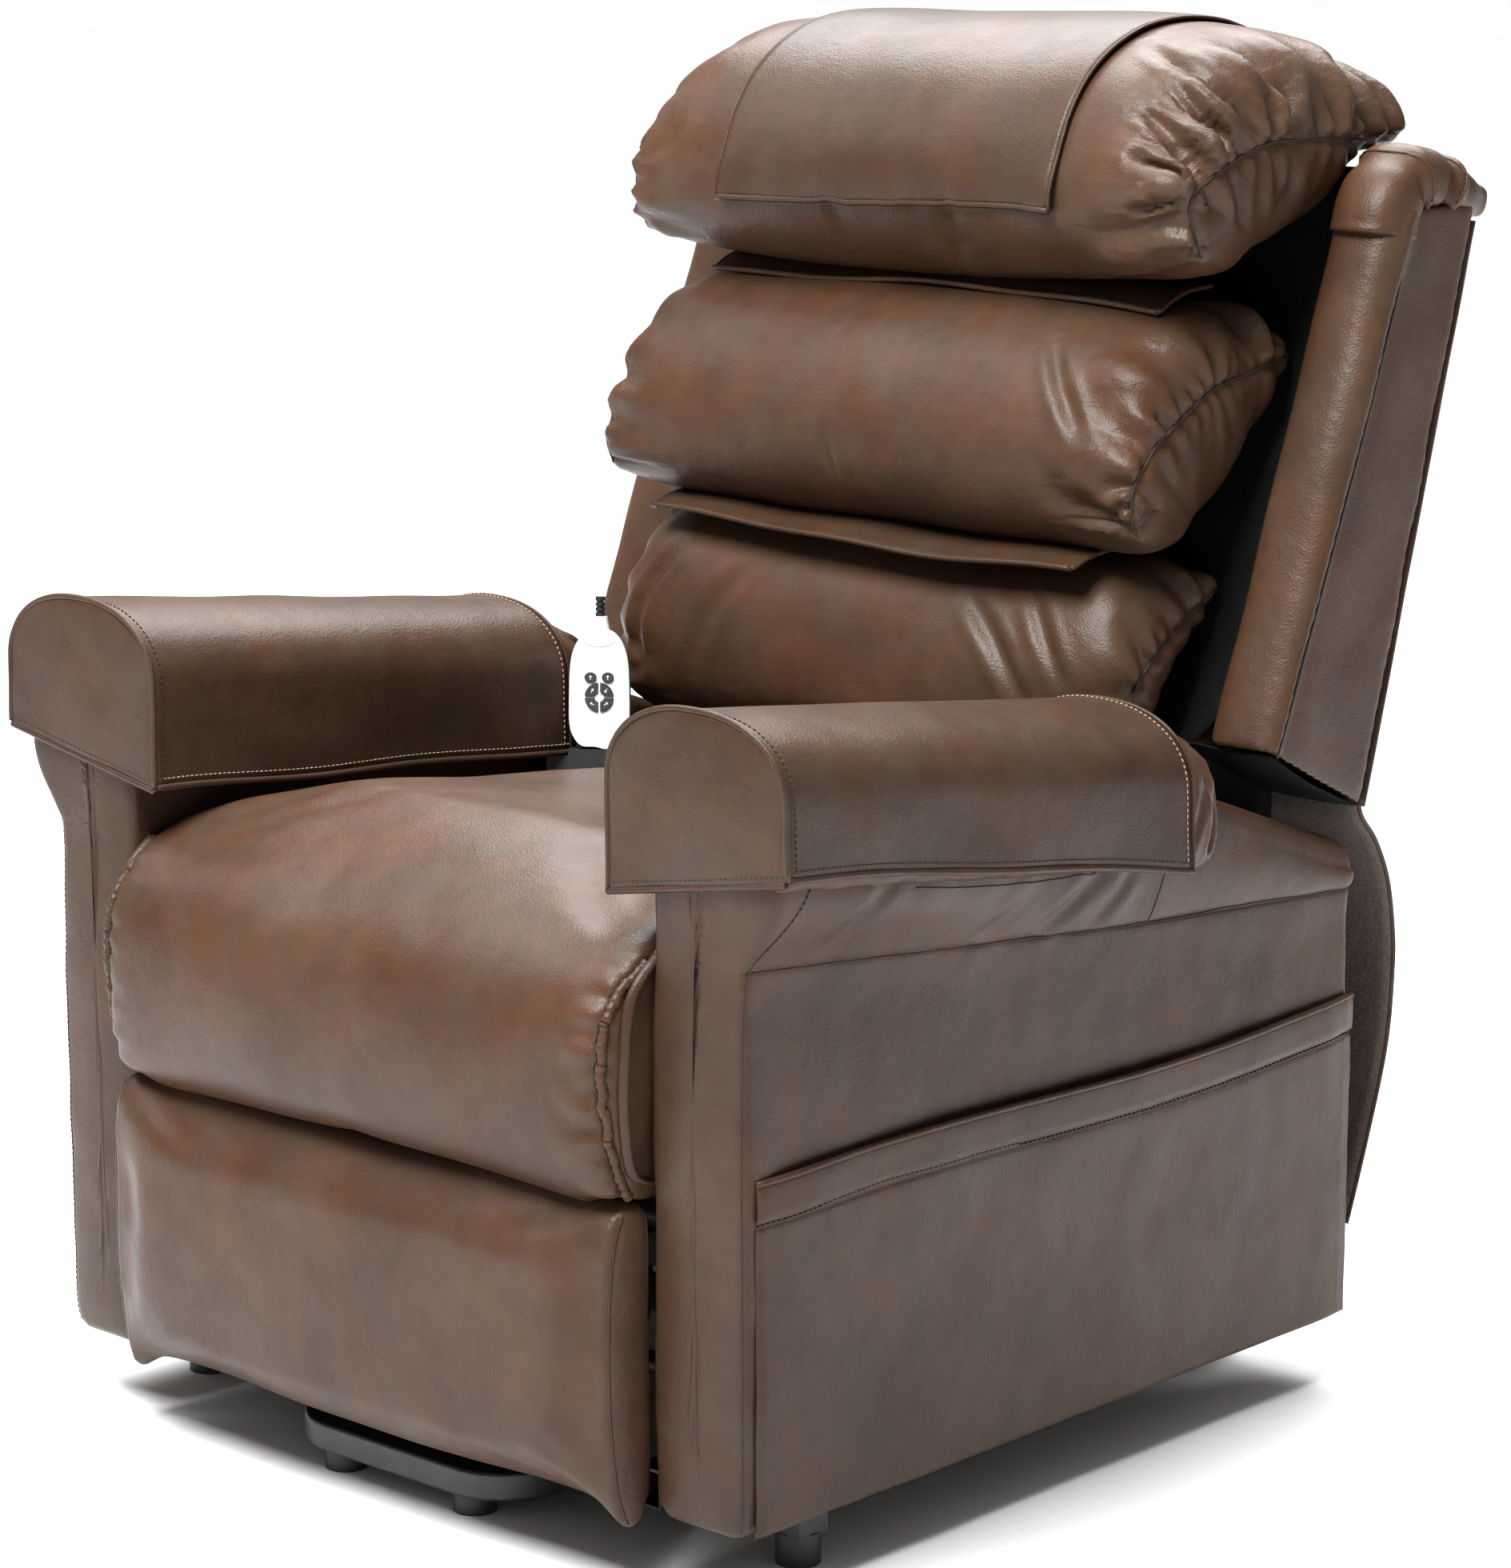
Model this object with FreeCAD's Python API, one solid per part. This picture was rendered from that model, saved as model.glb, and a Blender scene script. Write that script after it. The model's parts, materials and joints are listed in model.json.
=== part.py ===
import FreeCAD, Part
import math
import os

from FreeCAD import Vector

# Lift recliner chair.  Millimetres, +Z up, the sitter faces -Y, +X is the sitter's left.
# The origin is on the floor, under the middle of the chair's bounding box.

os.makedirs("parts", exist_ok=True)

# ---- driving dimensions -------------------------------------------------------------------
FRONT_Y = -412.0            # front face of the arm panels
REAR_Y = 286.0              # rear face of the arm panels
ARM_INNER_X = 272.0
ARM_OUTER_X = 357.0
ARM_BOTTOM_Z = 52.0
COVER_THICKNESS = 4.0

PAD_INNER_X = 240.0
PAD_OUTER_X = 400.0
PAD_FRONT_Y = -414.0
PAD_END_Y = 118.0
PAD_TOP_Z = 633.5           # pad crown at FRONT_Y
PAD_SLOPE = -0.131          # the arm rests fall towards the back
PAD_DROP = 112.0
CAP_THICKNESS = 2.5
ARCH_STEPS = 14             # flats round the arm rest's crown
CAP_END_Y = 23.0
CAP_DROP = 107.0
PANEL_BELOW_CROWN = 63.0    # panel top under the pad crown

SEAT_HALF_WIDTH = 266.0
DECK_Z = 336.0
BACK_FRONT_SLOPE = 0.445    # lining line, y per z
BACK_REAR_SLOPE = 0.2848    # rear cover line, y per z
BACK_FRONT_Y = 167.0        # lining at BACK_LOW_Z
BACK_REAR_Y = 301.0         # rear cover at BACK_LOW_Z
BACK_LOW_Z = 455.0
WING_INNER_X = 297.0

# pivots of the mechanism, (y, z)
LIFT_PIVOT = (225.0, 205.0)         # lift arm on the base post
PLATFORM_PIVOT = (-184.0, 110.0)    # lift arm on the carriage
LINK_BASE_PIVOT = (75.0, 200.0)     # stabiliser link on the base post
LINK_TOP_PIVOT = (-253.0, 116.5)    # stabiliser link on the carriage
RECLINE_PIVOT = (190.0, 345.0)
CRANK_CENTRE = (192.0, 252.0)
RECLINE_ROD_PIVOT = (166.0, 234.0)
FOOT_PIVOT = (-235.0, 262.0)
FOOT_KNEE = (-290.0, 108.0)
FOOT_PANEL_PIVOT = (-392.0, 212.0)
LIFT_MOTOR_TAIL = (232.0, 60.0)
RECLINE_MOTOR_TAIL = (-190.0, 232.0)
CROSS_TUBE_SHARE = 0.75             # place of the cross tube along the lift arm
LUG_REACH = 38.0                    # lift cross tube's centre to the rod's pivot
RUNNING = 0.06                      # radial clearance of a pin in its hole


# ---- helpers ------------------------------------------------------------------------------
def box(x0, x1, y0, y1, z0, z1):
    return Part.makeBox(x1 - x0, y1 - y0, z1 - z0, Vector(x0, y0, z0))


def rod_x(centre, radius, x0, x1):
    return Part.makeCylinder(radius, x1 - x0, Vector(x0, centre[0], centre[1]), Vector(1, 0, 0))


def rod_z(x, y, radius, z0, z1):
    return Part.makeCylinder(radius, z1 - z0, Vector(x, y, z0), Vector(0, 0, 1))


def mirrored(shape):
    return shape.mirror(Vector(0, 0, 0), Vector(1, 0, 0))


def both_sides(*shapes):
    found = []
    for shape in shapes:
        found.append(shape)
        found.append(mirrored(shape))
    return found


def joined(*shapes):
    result = shapes[0]
    for shape in shapes[1:]:
        result = result.fuse(shape)
    return result.removeSplitter()


def profile_x(points, x0, x1):
    """A prism with a (y, z) outline, from x0 to x1."""
    corners = [Vector(x0, y, z) for y, z in points]
    corners.append(corners[0])
    return Part.Face(Part.makePolygon(corners)).extrude(Vector(x1 - x0, 0, 0))


def section_x(points, x):
    corners = [Vector(x, y, z) for y, z in points]
    corners.append(corners[0])
    return Part.makePolygon(corners)


def ruled_loft(wires):
    loft = Part.makeLoft(wires, True, True)
    if loft.Volume < 0:
        loft.reverse()
    return loft


def shrunk(points, centre, share):
    cy, cz = centre
    return [(cy + (y - cy) * share, cz + (z - cz) * share) for y, z in points]


def pillow(points, centre, half_width, end_share, body_share=0.8):
    """A soft roll along X whose ends pull in towards a seam point."""
    half = (
        (1.0, end_share),
        (0.93, end_share + 0.6 * (1 - end_share)),
        (body_share, 1.0),
    )
    stations = [(-s, share) for s, share in half] + [(s, share) for s, share in half[::-1]]
    wires = [section_x(shrunk(points, centre, share), half_width * s) for s, share in stations]
    return ruled_loft(wires)


def strip_along(points, thickness, x0, x1):
    """A thin sheet that follows a line in the (y, z) plane."""
    upper = []
    lower = []
    last = len(points) - 1
    for i, (y, z) in enumerate(points):
        before = points[max(i - 1, 0)]
        after = points[min(i + 1, last)]
        dy = after[0] - before[0]
        dz = after[1] - before[1]
        length = math.hypot(dy, dz)
        ny = -dz / length * thickness / 2
        nz = dy / length * thickness / 2
        upper.append((y + ny, z + nz))
        lower.append((y - ny, z - nz))
    return profile_x(upper + lower[::-1], x0, x1)


def link_plate(first, second, half_width, x0, x1, first_hole=0.0, second_hole=0.0):
    """A flat bar with round ends between two pivots."""
    dy = second[0] - first[0]
    dz = second[1] - first[1]
    length = math.hypot(dy, dz)
    ny = -dz / length * half_width
    nz = dy / length * half_width
    outline = [
        (first[0] + ny, first[1] + nz),
        (second[0] + ny, second[1] + nz),
        (second[0] - ny, second[1] - nz),
        (first[0] - ny, first[1] - nz),
    ]
    plate = joined(
        profile_x(outline, x0, x1),
        rod_x(first, half_width, x0, x1),
        rod_x(second, half_width, x0, x1),
    )
    for centre, radius in ((first, first_hole), (second, second_hole)):
        if radius > 0:
            plate = plate.cut(rod_x(centre, radius, x0 - 1, x1 + 1))
    return plate


def tube_box(x0, x1, y0, y1, z0, z1, axis, wall=2.0):
    """A rectangular steel tube, open at both ends along its axis."""
    inner = {
        "x": box(x0 - 1, x1 + 1, y0 + wall, y1 - wall, z0 + wall, z1 - wall),
        "y": box(x0 + wall, x1 - wall, y0 - 1, y1 + 1, z0 + wall, z1 - wall),
    }[axis]
    return box(x0, x1, y0, y1, z0, z1).cut(inner)


def save(name, shapes):
    if not isinstance(shapes, (list, tuple)):
        shapes = [shapes]
    solids = []
    for shape in shapes:
        solids.extend(shape.Solids)
    for solid in solids:
        if not solid.isValid():
            print("NOT VALID", name)
    result = solids[0] if len(solids) == 1 else Part.makeCompound(solids)
    result.exportStep("parts/" + name + ".step")
    bounds = result.BoundBox
    print(name, len(solids), round(result.Volume / 1000.0, 1), "cm3",
          round(bounds.YMin, 1), round(bounds.YMax, 1), round(bounds.ZMin, 1), round(bounds.ZMax, 1))


def along(first, second, share):
    return (first[0] + (second[0] - first[0]) * share, first[1] + (second[1] - first[1]) * share)


def towards(start, goal, distance):
    length = math.hypot(goal[0] - start[0], goal[1] - start[1])
    return along(start, goal, distance / length)


def back_front(z):
    return BACK_FRONT_Y + (z - BACK_LOW_Z) * BACK_FRONT_SLOPE


def back_rear(z):
    return BACK_REAR_Y + (z - BACK_LOW_Z) * BACK_REAR_SLOPE


def pad_crown(y):
    return PAD_TOP_Z + (y - FRONT_Y) * PAD_SLOPE


# ---- base on the floor --------------------------------------------------------------------
RAIL_X = (190.0, 215.0)
RAIL_Z = (22.0, 52.0)
FOOT_RADIUS = 16.5
FRONT_BAR_Z = (16.0, 38.0)
FRONT_BAR_HALF = 124.0
FRONT_BAR_Y = (-412.0, -338.0)
FRONT_BAR_CORNER = 54.0
RAIL_FRONT_Y = -345.0
REAR_BAR_Y = (250.0, 280.0)
REAR_BAR_HALF = 258.0
BASE_FRONT_FEET = (69.0, -390.0)
BASE_REAR_FEET = (240.0, 257.0)
GLIDE_Y = -309.0
LIFT_POST_X = (172.0, 182.0)
LINK_POST_X = (204.0, 214.0)
LIFT_ARM_X = (184.0, 192.0)
LINK_X = (195.0, 201.0)
LIFT_PIN_RADIUS = 6.0
LINK_PIN_RADIUS = 5.0


def front_bar():
    """The low front crossbar: widely rounded ends, softened edges, and arms to the side rails."""
    y0, y1 = FRONT_BAR_Y
    z0, z1 = FRONT_BAR_Z
    bar = box(-FRONT_BAR_HALF, FRONT_BAR_HALF, y0, y1, z0, z1)
    corners = [e for e in bar.Edges if e.BoundBox.ZLength > 20 and e.BoundBox.YMax < y0 + 1]
    bar = bar.makeFillet(FRONT_BAR_CORNER, corners)
    rims = [e for e in bar.Edges if e.BoundBox.ZLength < 1 and e.BoundBox.YMin < y1 - 1]
    bar = bar.makeFillet(3.0, rims)
    arms = box(-RAIL_X[0], RAIL_X[0], RAIL_FRONT_Y, RAIL_FRONT_Y + 34, z0 + 6, z1 + 4)
    return joined(bar, arms)


def lift_post():
    y, z = LIFT_PIVOT
    outline = [(y - 20, z), (y + 20, z), (REAR_BAR_Y[1], RAIL_Z[1]), (y - 12, RAIL_Z[1])]
    post = joined(profile_x(outline, *LIFT_POST_X), rod_x(LIFT_PIVOT, 20, *LIFT_POST_X))
    return post.cut(rod_x(LIFT_PIVOT, LIFT_PIN_RADIUS, LIFT_POST_X[0] - 1, LIFT_POST_X[1] + 1))


def link_post():
    y, z = LINK_BASE_PIVOT
    outline = [(y - 15, z), (y + 15, z), (y + 30, RAIL_Z[1]), (y - 30, RAIL_Z[1])]
    post = joined(profile_x(outline, *LINK_POST_X), rod_x(LINK_BASE_PIVOT, 15, *LINK_POST_X))
    return post.cut(rod_x(LINK_BASE_PIVOT, LINK_PIN_RADIUS, LINK_POST_X[0] - 1, LINK_POST_X[1] + 1))


def motor_ears(tail, x0, x1, attach):
    """One of the two ears that hold a motor's tail pin; attach is its far edge's outline."""
    outline = [(tail[0] - 10, tail[1]), (tail[0] + 10, tail[1])] + attach
    ear = joined(profile_x(outline, x0, x1), rod_x(tail, 10, x0, x1))
    return ear.cut(rod_x(tail, LINK_PIN_RADIUS, x0 - 1, x1 + 1))


def base():
    save("base_front_bar", front_bar())
    side = tube_box(*RAIL_X, RAIL_FRONT_Y, REAR_BAR_Y[1], *RAIL_Z, "y")
    outer = tube_box(RAIL_X[1], REAR_BAR_HALF, *REAR_BAR_Y, *RAIL_Z, "x")
    rear = tube_box(-RAIL_X[0], RAIL_X[0], *REAR_BAR_Y, *RAIL_Z, "x")
    rear_ear = [(REAR_BAR_Y[0], 68.0), (REAR_BAR_Y[0], 30.0), (232.0, 46.0)]
    ear = motor_ears(LIFT_MOTOR_TAIL, 12.0, 18.0, rear_ear)
    save("base_frame", both_sides(side, outer, lift_post(), link_post(), ear) + [rear])
    feet = [
        rod_z(BASE_FRONT_FEET[0], BASE_FRONT_FEET[1], FOOT_RADIUS, 0, FRONT_BAR_Z[0]),
        rod_z(BASE_REAR_FEET[0], BASE_REAR_FEET[1], FOOT_RADIUS, 0, RAIL_Z[0]),
    ]
    save("base_feet", both_sides(*feet))
    pins = both_sides(
        rod_x(LIFT_PIVOT, LIFT_PIN_RADIUS, LIFT_POST_X[0], LIFT_ARM_X[1] + 2),
        rod_x(LINK_BASE_PIVOT, LINK_PIN_RADIUS, LINK_X[0] - 2, LINK_POST_X[1]),
    )
    pins.append(rod_x(LIFT_MOTOR_TAIL, LINK_PIN_RADIUS, -18.0, 18.0))
    save("base_pivot_pins", pins)
    supply = box(-165, -50, 185, REAR_BAR_Y[0], 24, 62)
    supply = supply.makeFillet(4.0, [e for e in supply.Edges if e.BoundBox.ZLength > 30])
    save("power_supply", supply.cut(box(-132, -98, 184, 196, 33, 55)))
    inlet = box(-132, -98, 180, 196, 33, 55).cut(box(-127, -103, 179, 190, 37, 51))
    pins = [box(x - 1, x + 1, 182, 190, 42, 46) for x in (-121.0, -115.0, -109.0)]
    save("mains_inlet", joined(inlet, *pins))


# ---- lift linkage -------------------------------------------------------------------------
def lift_tube_centre():
    return along(LIFT_PIVOT, PLATFORM_PIVOT, CROSS_TUBE_SHARE)


def lift_rod_pivot():
    return towards(lift_tube_centre(), LIFT_MOTOR_TAIL, LUG_REACH)


def linkage():
    hole = LIFT_PIN_RADIUS + RUNNING
    arm = link_plate(LIFT_PIVOT, PLATFORM_PIVOT, 18, *LIFT_ARM_X, hole, hole)
    centre = lift_tube_centre()
    tube = rod_x(centre, 11, -LIFT_ARM_X[0], LIFT_ARM_X[0])
    tube = tube.cut(rod_x(centre, 8.5, -LIFT_ARM_X[0] - 1, LIFT_ARM_X[0] + 1))
    lug = link_plate(centre, lift_rod_pivot(), 12, -5, 5).cut(rod_x(centre, 11, -6, 6))
    save("lift_arms", both_sides(arm) + [tube, lug])
    link = link_plate(
        LINK_BASE_PIVOT, LINK_TOP_PIVOT, 12, *LINK_X, LINK_PIN_RADIUS + RUNNING, LINK_PIN_RADIUS + 2.2
    )
    save("stabiliser_links", both_sides(link))


# ---- electric actuators -------------------------------------------------------------------
def placed_along(shape, tail, tip):
    """Turns a part drawn along +Y from the origin onto the line from tail to tip."""
    angle = math.degrees(math.atan2(tip[1] - tail[1], tip[0] - tail[0]))
    shape = shape.copy()
    shape.rotate(Vector(0, 0, 0), Vector(1, 0, 0), angle)
    shape.translate(Vector(0, tail[0], tail[1]))
    return shape


def rod_y(x, z, radius, y0, y1):
    return Part.makeCylinder(radius, y1 - y0, Vector(x, y0, z), Vector(0, 1, 0))


def actuator_body(tail, tip, reach, can_side):
    """Gearbox, motor can and outer tube; its tail eye turns on a pin."""
    eye = joined(rod_x((0, 0), 11, -10, 10), box(-10, 10, 0, 24, -9, 9))
    gearbox = box(-26, 26, 20, 78, -22, 24)
    can_block = box(min(0, can_side * 72), max(0, can_side * 72), 30, 78, -22, 24)
    can = rod_y(can_side * 48, 0, 21, 78, 176)
    tube = rod_y(0, 0, 16, 78, reach)
    body = joined(eye, gearbox, can_block, can, tube)
    body = body.cut(rod_x((0, 0), LINK_PIN_RADIUS + RUNNING, -11, 11))
    body = body.cut(rod_y(0, 0, 9.5, 60, reach + 1))
    return placed_along(body, tail, tip)


def actuator_rod(tail, tip, start):
    """Push rod with a forked end whose two ears stand either side of a lug."""
    length = math.hypot(tip[0] - tail[0], tip[1] - tail[1])
    rod = rod_y(0, 0, 9.2, start, length - 35)
    block = box(-13, 13, length - 47, length - 34, -12, 12)
    ears = []
    for side in (-1, 1):
        inner, outer = sorted((side * 7.0, side * 13.0))
        head_inner, head_outer = sorted((side * 13.0, side * 17.0))
        ears.append(box(inner, outer, length - 35, length, -12, 12))
        ears.append(rod_x((length, 0), 12, inner, outer))
        ears.append(rod_x((length, 0), 7, head_inner, head_outer))
    return placed_along(joined(rod, block, *ears), tail, tip)


def actuators():
    tip = lift_rod_pivot()
    save("lift_motor", actuator_body(LIFT_MOTOR_TAIL, tip, 212, 1))
    save("lift_motor_rod", actuator_rod(LIFT_MOTOR_TAIL, tip, 100))
    tip = RECLINE_ROD_PIVOT
    save("recline_motor", actuator_body(RECLINE_MOTOR_TAIL, tip, 236, -1))
    save("recline_motor_rod", actuator_rod(RECLINE_MOTOR_TAIL, tip, 140))


# ---- carriage: steel frame, seat frame, springs --------------------------------------------
STEEL_X = (212.0, 237.0)
STEEL_Z = (255.0, 283.0)
CROSS_Z = (283.0, 305.0)
HINGE_PLATE_X = (229.0, 237.0)
WOOD_X = (256.0, 272.0)
WOOD_Z = (285.0, 330.0)
CROSS_TUBES_Y = ((-325.0, -300.0), (-205.0, -180.0), (25.0, 50.0))
SPRING_COUNT = 6
SPRING_WIRE = 1.6


def zigzag_spring(x, y0, y1, z, swing, turns):
    """A sinuous wire spring: cross runs joined by half circles, which alternate sides."""
    step = (y1 - y0) / turns
    radius = step / 2
    edges = []
    for i in range(turns + 1):
        y = y0 + i * step
        side = 1 if i % 2 else -1
        start = Vector(x + side * swing, y, z)
        end = Vector(x - side * swing, y, z)
        edges.append(Part.LineSegment(start, end).toShape())
        if i < turns:
            middle = Vector(x - side * (swing + radius), y + radius, z)
            edges.append(Part.Arc(end, middle, Vector(end.x, y + step, z)).toShape())
    path = Part.Wire(edges)
    first = Vector(x - swing, y0, z)
    ring = Part.Wire(Part.makeCircle(SPRING_WIRE, first, Vector(1, 0, 0)))
    return path.makePipeShell([ring], True, False)


def carriage():
    rail = tube_box(*STEEL_X, -330, 100, *STEEL_Z, "y")
    save("carriage_rails", both_sides(rail))
    middle = CROSS_TUBES_Y[1]
    tubes = [tube_box(-WOOD_X[0], WOOD_X[0], y0, y1, *CROSS_Z, "x") for y0, y1 in CROSS_TUBES_Y]
    save("carriage_cross_tubes", tubes)
    y, z = PLATFORM_PIVOT
    inner_outline = [(y - 18, z), (y + 18, z), (middle[1] + 8, CROSS_Z[0]), (middle[0], CROSS_Z[0])]
    inner = joined(profile_x(inner_outline, *LIFT_POST_X), rod_x(PLATFORM_PIVOT, 18, *LIFT_POST_X))
    inner = inner.cut(rod_x(PLATFORM_PIVOT, LIFT_PIN_RADIUS, LIFT_POST_X[0] - 1, LIFT_POST_X[1] + 1))
    y, z = LINK_TOP_PIVOT
    outer_outline = [(y - 14, z), (y + 14, z), (y + 22, STEEL_Z[1]), (y - 22, STEEL_Z[1])]
    bracket_x = (204.0, 212.0)
    outer = joined(profile_x(outer_outline, *bracket_x), rod_x(LINK_TOP_PIVOT, 14, *bracket_x))
    outer = outer.cut(rod_x(LINK_TOP_PIVOT, LINK_PIN_RADIUS, bracket_x[0] - 1, bracket_x[1] + 1))
    top_edge = [(middle[1], CROSS_Z[0]), (middle[0], CROSS_Z[0])]
    ear = motor_ears(RECLINE_MOTOR_TAIL, 12.0, 18.0, top_edge)
    y, z = RECLINE_PIVOT
    hinge_outline = [
        (52, STEEL_Z[1]), (52, 318), (150, 338), (y - 10, z + 14), (y + 12, z + 8),
        (y, z - 16), (135, 318), (105, STEEL_Z[1]),
    ]
    hinge = joined(profile_x(hinge_outline, *HINGE_PLATE_X), rod_x(RECLINE_PIVOT, 16, *HINGE_PLATE_X))
    hinge = hinge.cut(rod_x(RECLINE_PIVOT, LIFT_PIN_RADIUS, HINGE_PLATE_X[0] - 1, HINGE_PLATE_X[1] + 1))
    save("carriage_brackets", both_sides(inner, outer, ear, hinge))
    pins = both_sides(
        rod_x(PLATFORM_PIVOT, LIFT_PIN_RADIUS, LIFT_POST_X[0], LIFT_ARM_X[1] + 1.5),
        rod_x(LINK_TOP_PIVOT, LINK_PIN_RADIUS, LINK_X[0] - 1, bracket_x[1]),
        rod_x(RECLINE_PIVOT, LIFT_PIN_RADIUS, HINGE_PLATE_X[0], 250.0),
        rod_x(FOOT_PIVOT, LINK_PIN_RADIUS, STEEL_X[1], 247.5),
    )
    pins.append(rod_x(RECLINE_MOTOR_TAIL, LINK_PIN_RADIUS, -18.0, 18.0))
    save("carriage_pins", pins)
    side = box(*WOOD_X, -392, 52, *WOOD_Z)
    front = box(-WOOD_X[0], WOOD_X[0], -392, -362, 306, WOOD_Z[1])
    rear = box(-HINGE_PLATE_X[0], HINGE_PLATE_X[0], 88, 108, 290, WOOD_Z[1])
    save("seat_frame", both_sides(side) + [front, rear])
    springs = []
    for i in range(SPRING_COUNT):
        x = (i - (SPRING_COUNT - 1) / 2.0) * 80.0
        springs.append(zigzag_spring(x, -378, 98, WOOD_Z[1] + SPRING_WIRE, 12.0, 16))
    save("seat_springs", springs)
    save("seat_deck", box(-250, 250, -392, 108, DECK_Z - 2.5, DECK_Z))


# ---- seat cushion, footrest ----------------------------------------------------------------
SEAT_OUTLINE = [
    (95, DECK_Z), (-394, DECK_Z), (-396, 298), (-402, 293), (-422, 293), (-436, 301),
    (-447, 325), (-453.5, 355), (-455, 380), (-450, 412), (-434, 446), (-404, 470),
    (-354, 482), (-270, 474), (-120, 455), (19, 438), (95, 432),
]
PANEL_OUTLINE = [
    (-405, 50), (-432, 50), (-441, 62), (-449, 110), (-453, 165), (-451, 215),
    (-445, 250), (-435, 273), (-422, 281), (-405, 281),
]
FOOT_LINK_X = (240.0, 246.0)
FOOT_OUTER_LINK_X = (248.0, 254.0)


def seat():
    save("seat_cushion", profile_x(SEAT_OUTLINE, -SEAT_HALF_WIDTH, SEAT_HALF_WIDTH))
    gusset = profile_x([(-404, 296), (-434, 304), (-444, 350), (-438, 420), (-404, 455)], 268.5, 271.5)
    save("seat_gussets", both_sides(gusset))


def footrest():
    hole = LINK_PIN_RADIUS + RUNNING
    upper = link_plate(FOOT_PIVOT, FOOT_KNEE, 10, *FOOT_LINK_X, hole, 0)
    tube = rod_x(FOOT_KNEE, 8, -FOOT_LINK_X[0], FOOT_LINK_X[0])
    pin = rod_x(FOOT_KNEE, LINK_PIN_RADIUS, FOOT_LINK_X[1], FOOT_OUTER_LINK_X[1] + 1)
    save("foot_links_upper", both_sides(joined(upper, pin)) + [tube])
    lower = link_plate(FOOT_KNEE, FOOT_PANEL_PIVOT, 10, *FOOT_OUTER_LINK_X, hole, hole)
    save("foot_links_lower", both_sides(lower))
    y, z = FOOT_PANEL_PIVOT
    outline = [(-405, z + 40), (-398, z + 40), (y + 9, z + 6), (y + 9, z - 8), (-398, z - 62), (-405, z - 62)]
    bracket = joined(profile_x(outline, *FOOT_LINK_X), rod_x(FOOT_PANEL_PIVOT, 10, *FOOT_LINK_X))
    pin = rod_x(FOOT_PANEL_PIVOT, LINK_PIN_RADIUS, FOOT_LINK_X[1], FOOT_OUTER_LINK_X[1] + 1)
    save("footrest_brackets", both_sides(joined(bracket, pin)))
    board = box(-250, 250, -419, -405, 70, 268)
    save("footrest_board", board)
    pad = profile_x(PANEL_OUTLINE, -SEAT_HALF_WIDTH, SEAT_HALF_WIDTH)
    save("footrest_pad", pad.cut(board))


# ---- arms ----------------------------------------------------------------------------------
def panel_outline(inset):
    top_front = pad_crown(FRONT_Y) - PANEL_BELOW_CROWN
    return [
        (FRONT_Y + inset, ARM_BOTTOM_Z), (FRONT_Y + inset, top_front - inset),
        (78, 509 - inset), (REAR_Y - inset, 432 - inset), (REAR_Y - inset, ARM_BOTTOM_Z),
    ]


def arch_wire(y, crown, grow, drop):
    """Cross-section of the arm rest: upright sides under a round crown."""
    x0 = PAD_INNER_X - grow
    x1 = PAD_OUTER_X + grow
    half = (x1 - x0) / 2
    rise = 58.0
    shoulder = crown + grow - rise
    corners = [Vector(x0, y, crown - drop)]
    for step in range(ARCH_STEPS + 1):
        angle = math.pi * (1 - step / ARCH_STEPS)
        corners.append(Vector((x0 + x1) / 2 + half * math.cos(angle), y, shoulder + rise * math.sin(angle)))
    corners.append(Vector(x1, y, crown - drop))
    corners.append(corners[0])
    return Part.makePolygon(corners)


def arch_solid(y0, y1, grow, drop):
    section = Part.Face(arch_wire(y0, pad_crown(y0), grow, drop))
    return section.extrude(Vector(0, y1 - y0, (y1 - y0) * PAD_SLOPE))


def arm_pad(block):
    """The padded arm rest: straight, then closing in to a rounded end."""
    wires = [
        arch_wire(PAD_FRONT_Y, pad_crown(PAD_FRONT_Y), 0, PAD_DROP),
        arch_wire(PAD_END_Y - 34, pad_crown(PAD_END_Y - 34), 0, PAD_DROP),
        arch_wire(PAD_END_Y - 10, pad_crown(PAD_END_Y), -7, PAD_DROP - 8),
        arch_wire(PAD_END_Y, pad_crown(PAD_END_Y), -24, PAD_DROP - 18),
    ]
    return ruled_loft(wires).cut(block)


def arms():
    block = profile_x(panel_outline(0), ARM_INNER_X, ARM_OUTER_X)
    hollow = profile_x(
        [(y, z if z > ARM_BOTTOM_Z else z - 1) for y, z in panel_outline(COVER_THICKNESS)],
        ARM_INNER_X + COVER_THICKNESS, ARM_OUTER_X - COVER_THICKNESS,
    )
    cover = block.cut(hollow)
    frame = profile_x(panel_outline(COVER_THICKNESS + 1), 298, 334)
    window = profile_x(
        [(-360, 100), (-360, 505), (70, 448), (232, 390), (232, 100)], 297, 335
    )
    foot_hole = box(297, 335, -500, 500, 0, 56)
    frame = frame.cut(window).cut(foot_hole)
    pad = arm_pad(block)
    cap = arch_solid(PAD_FRONT_Y - CAP_THICKNESS, CAP_END_Y, CAP_THICKNESS, CAP_DROP)
    cap = cap.cut(arch_solid(PAD_FRONT_Y, CAP_END_Y + 5, 0, PAD_DROP + 30))
    sides = {"left": lambda shape: shape, "right": mirrored}
    for name, placed in sides.items():
        save("arm_cover_" + name, placed(cover))
        save("arm_pad_" + name, placed(pad))
        save("arm_cap_" + name, placed(cap))
        save("side_pocket_" + name, placed(side_pocket()))
    save("arm_frames", both_sides(frame))
    glide = joined(rod_z(316, GLIDE_Y, FOOT_RADIUS, 0, 24), box(301, 331, GLIDE_Y - 15, GLIDE_Y + 15, 22, 56))
    save("arm_glides", both_sides(glide))


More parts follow.
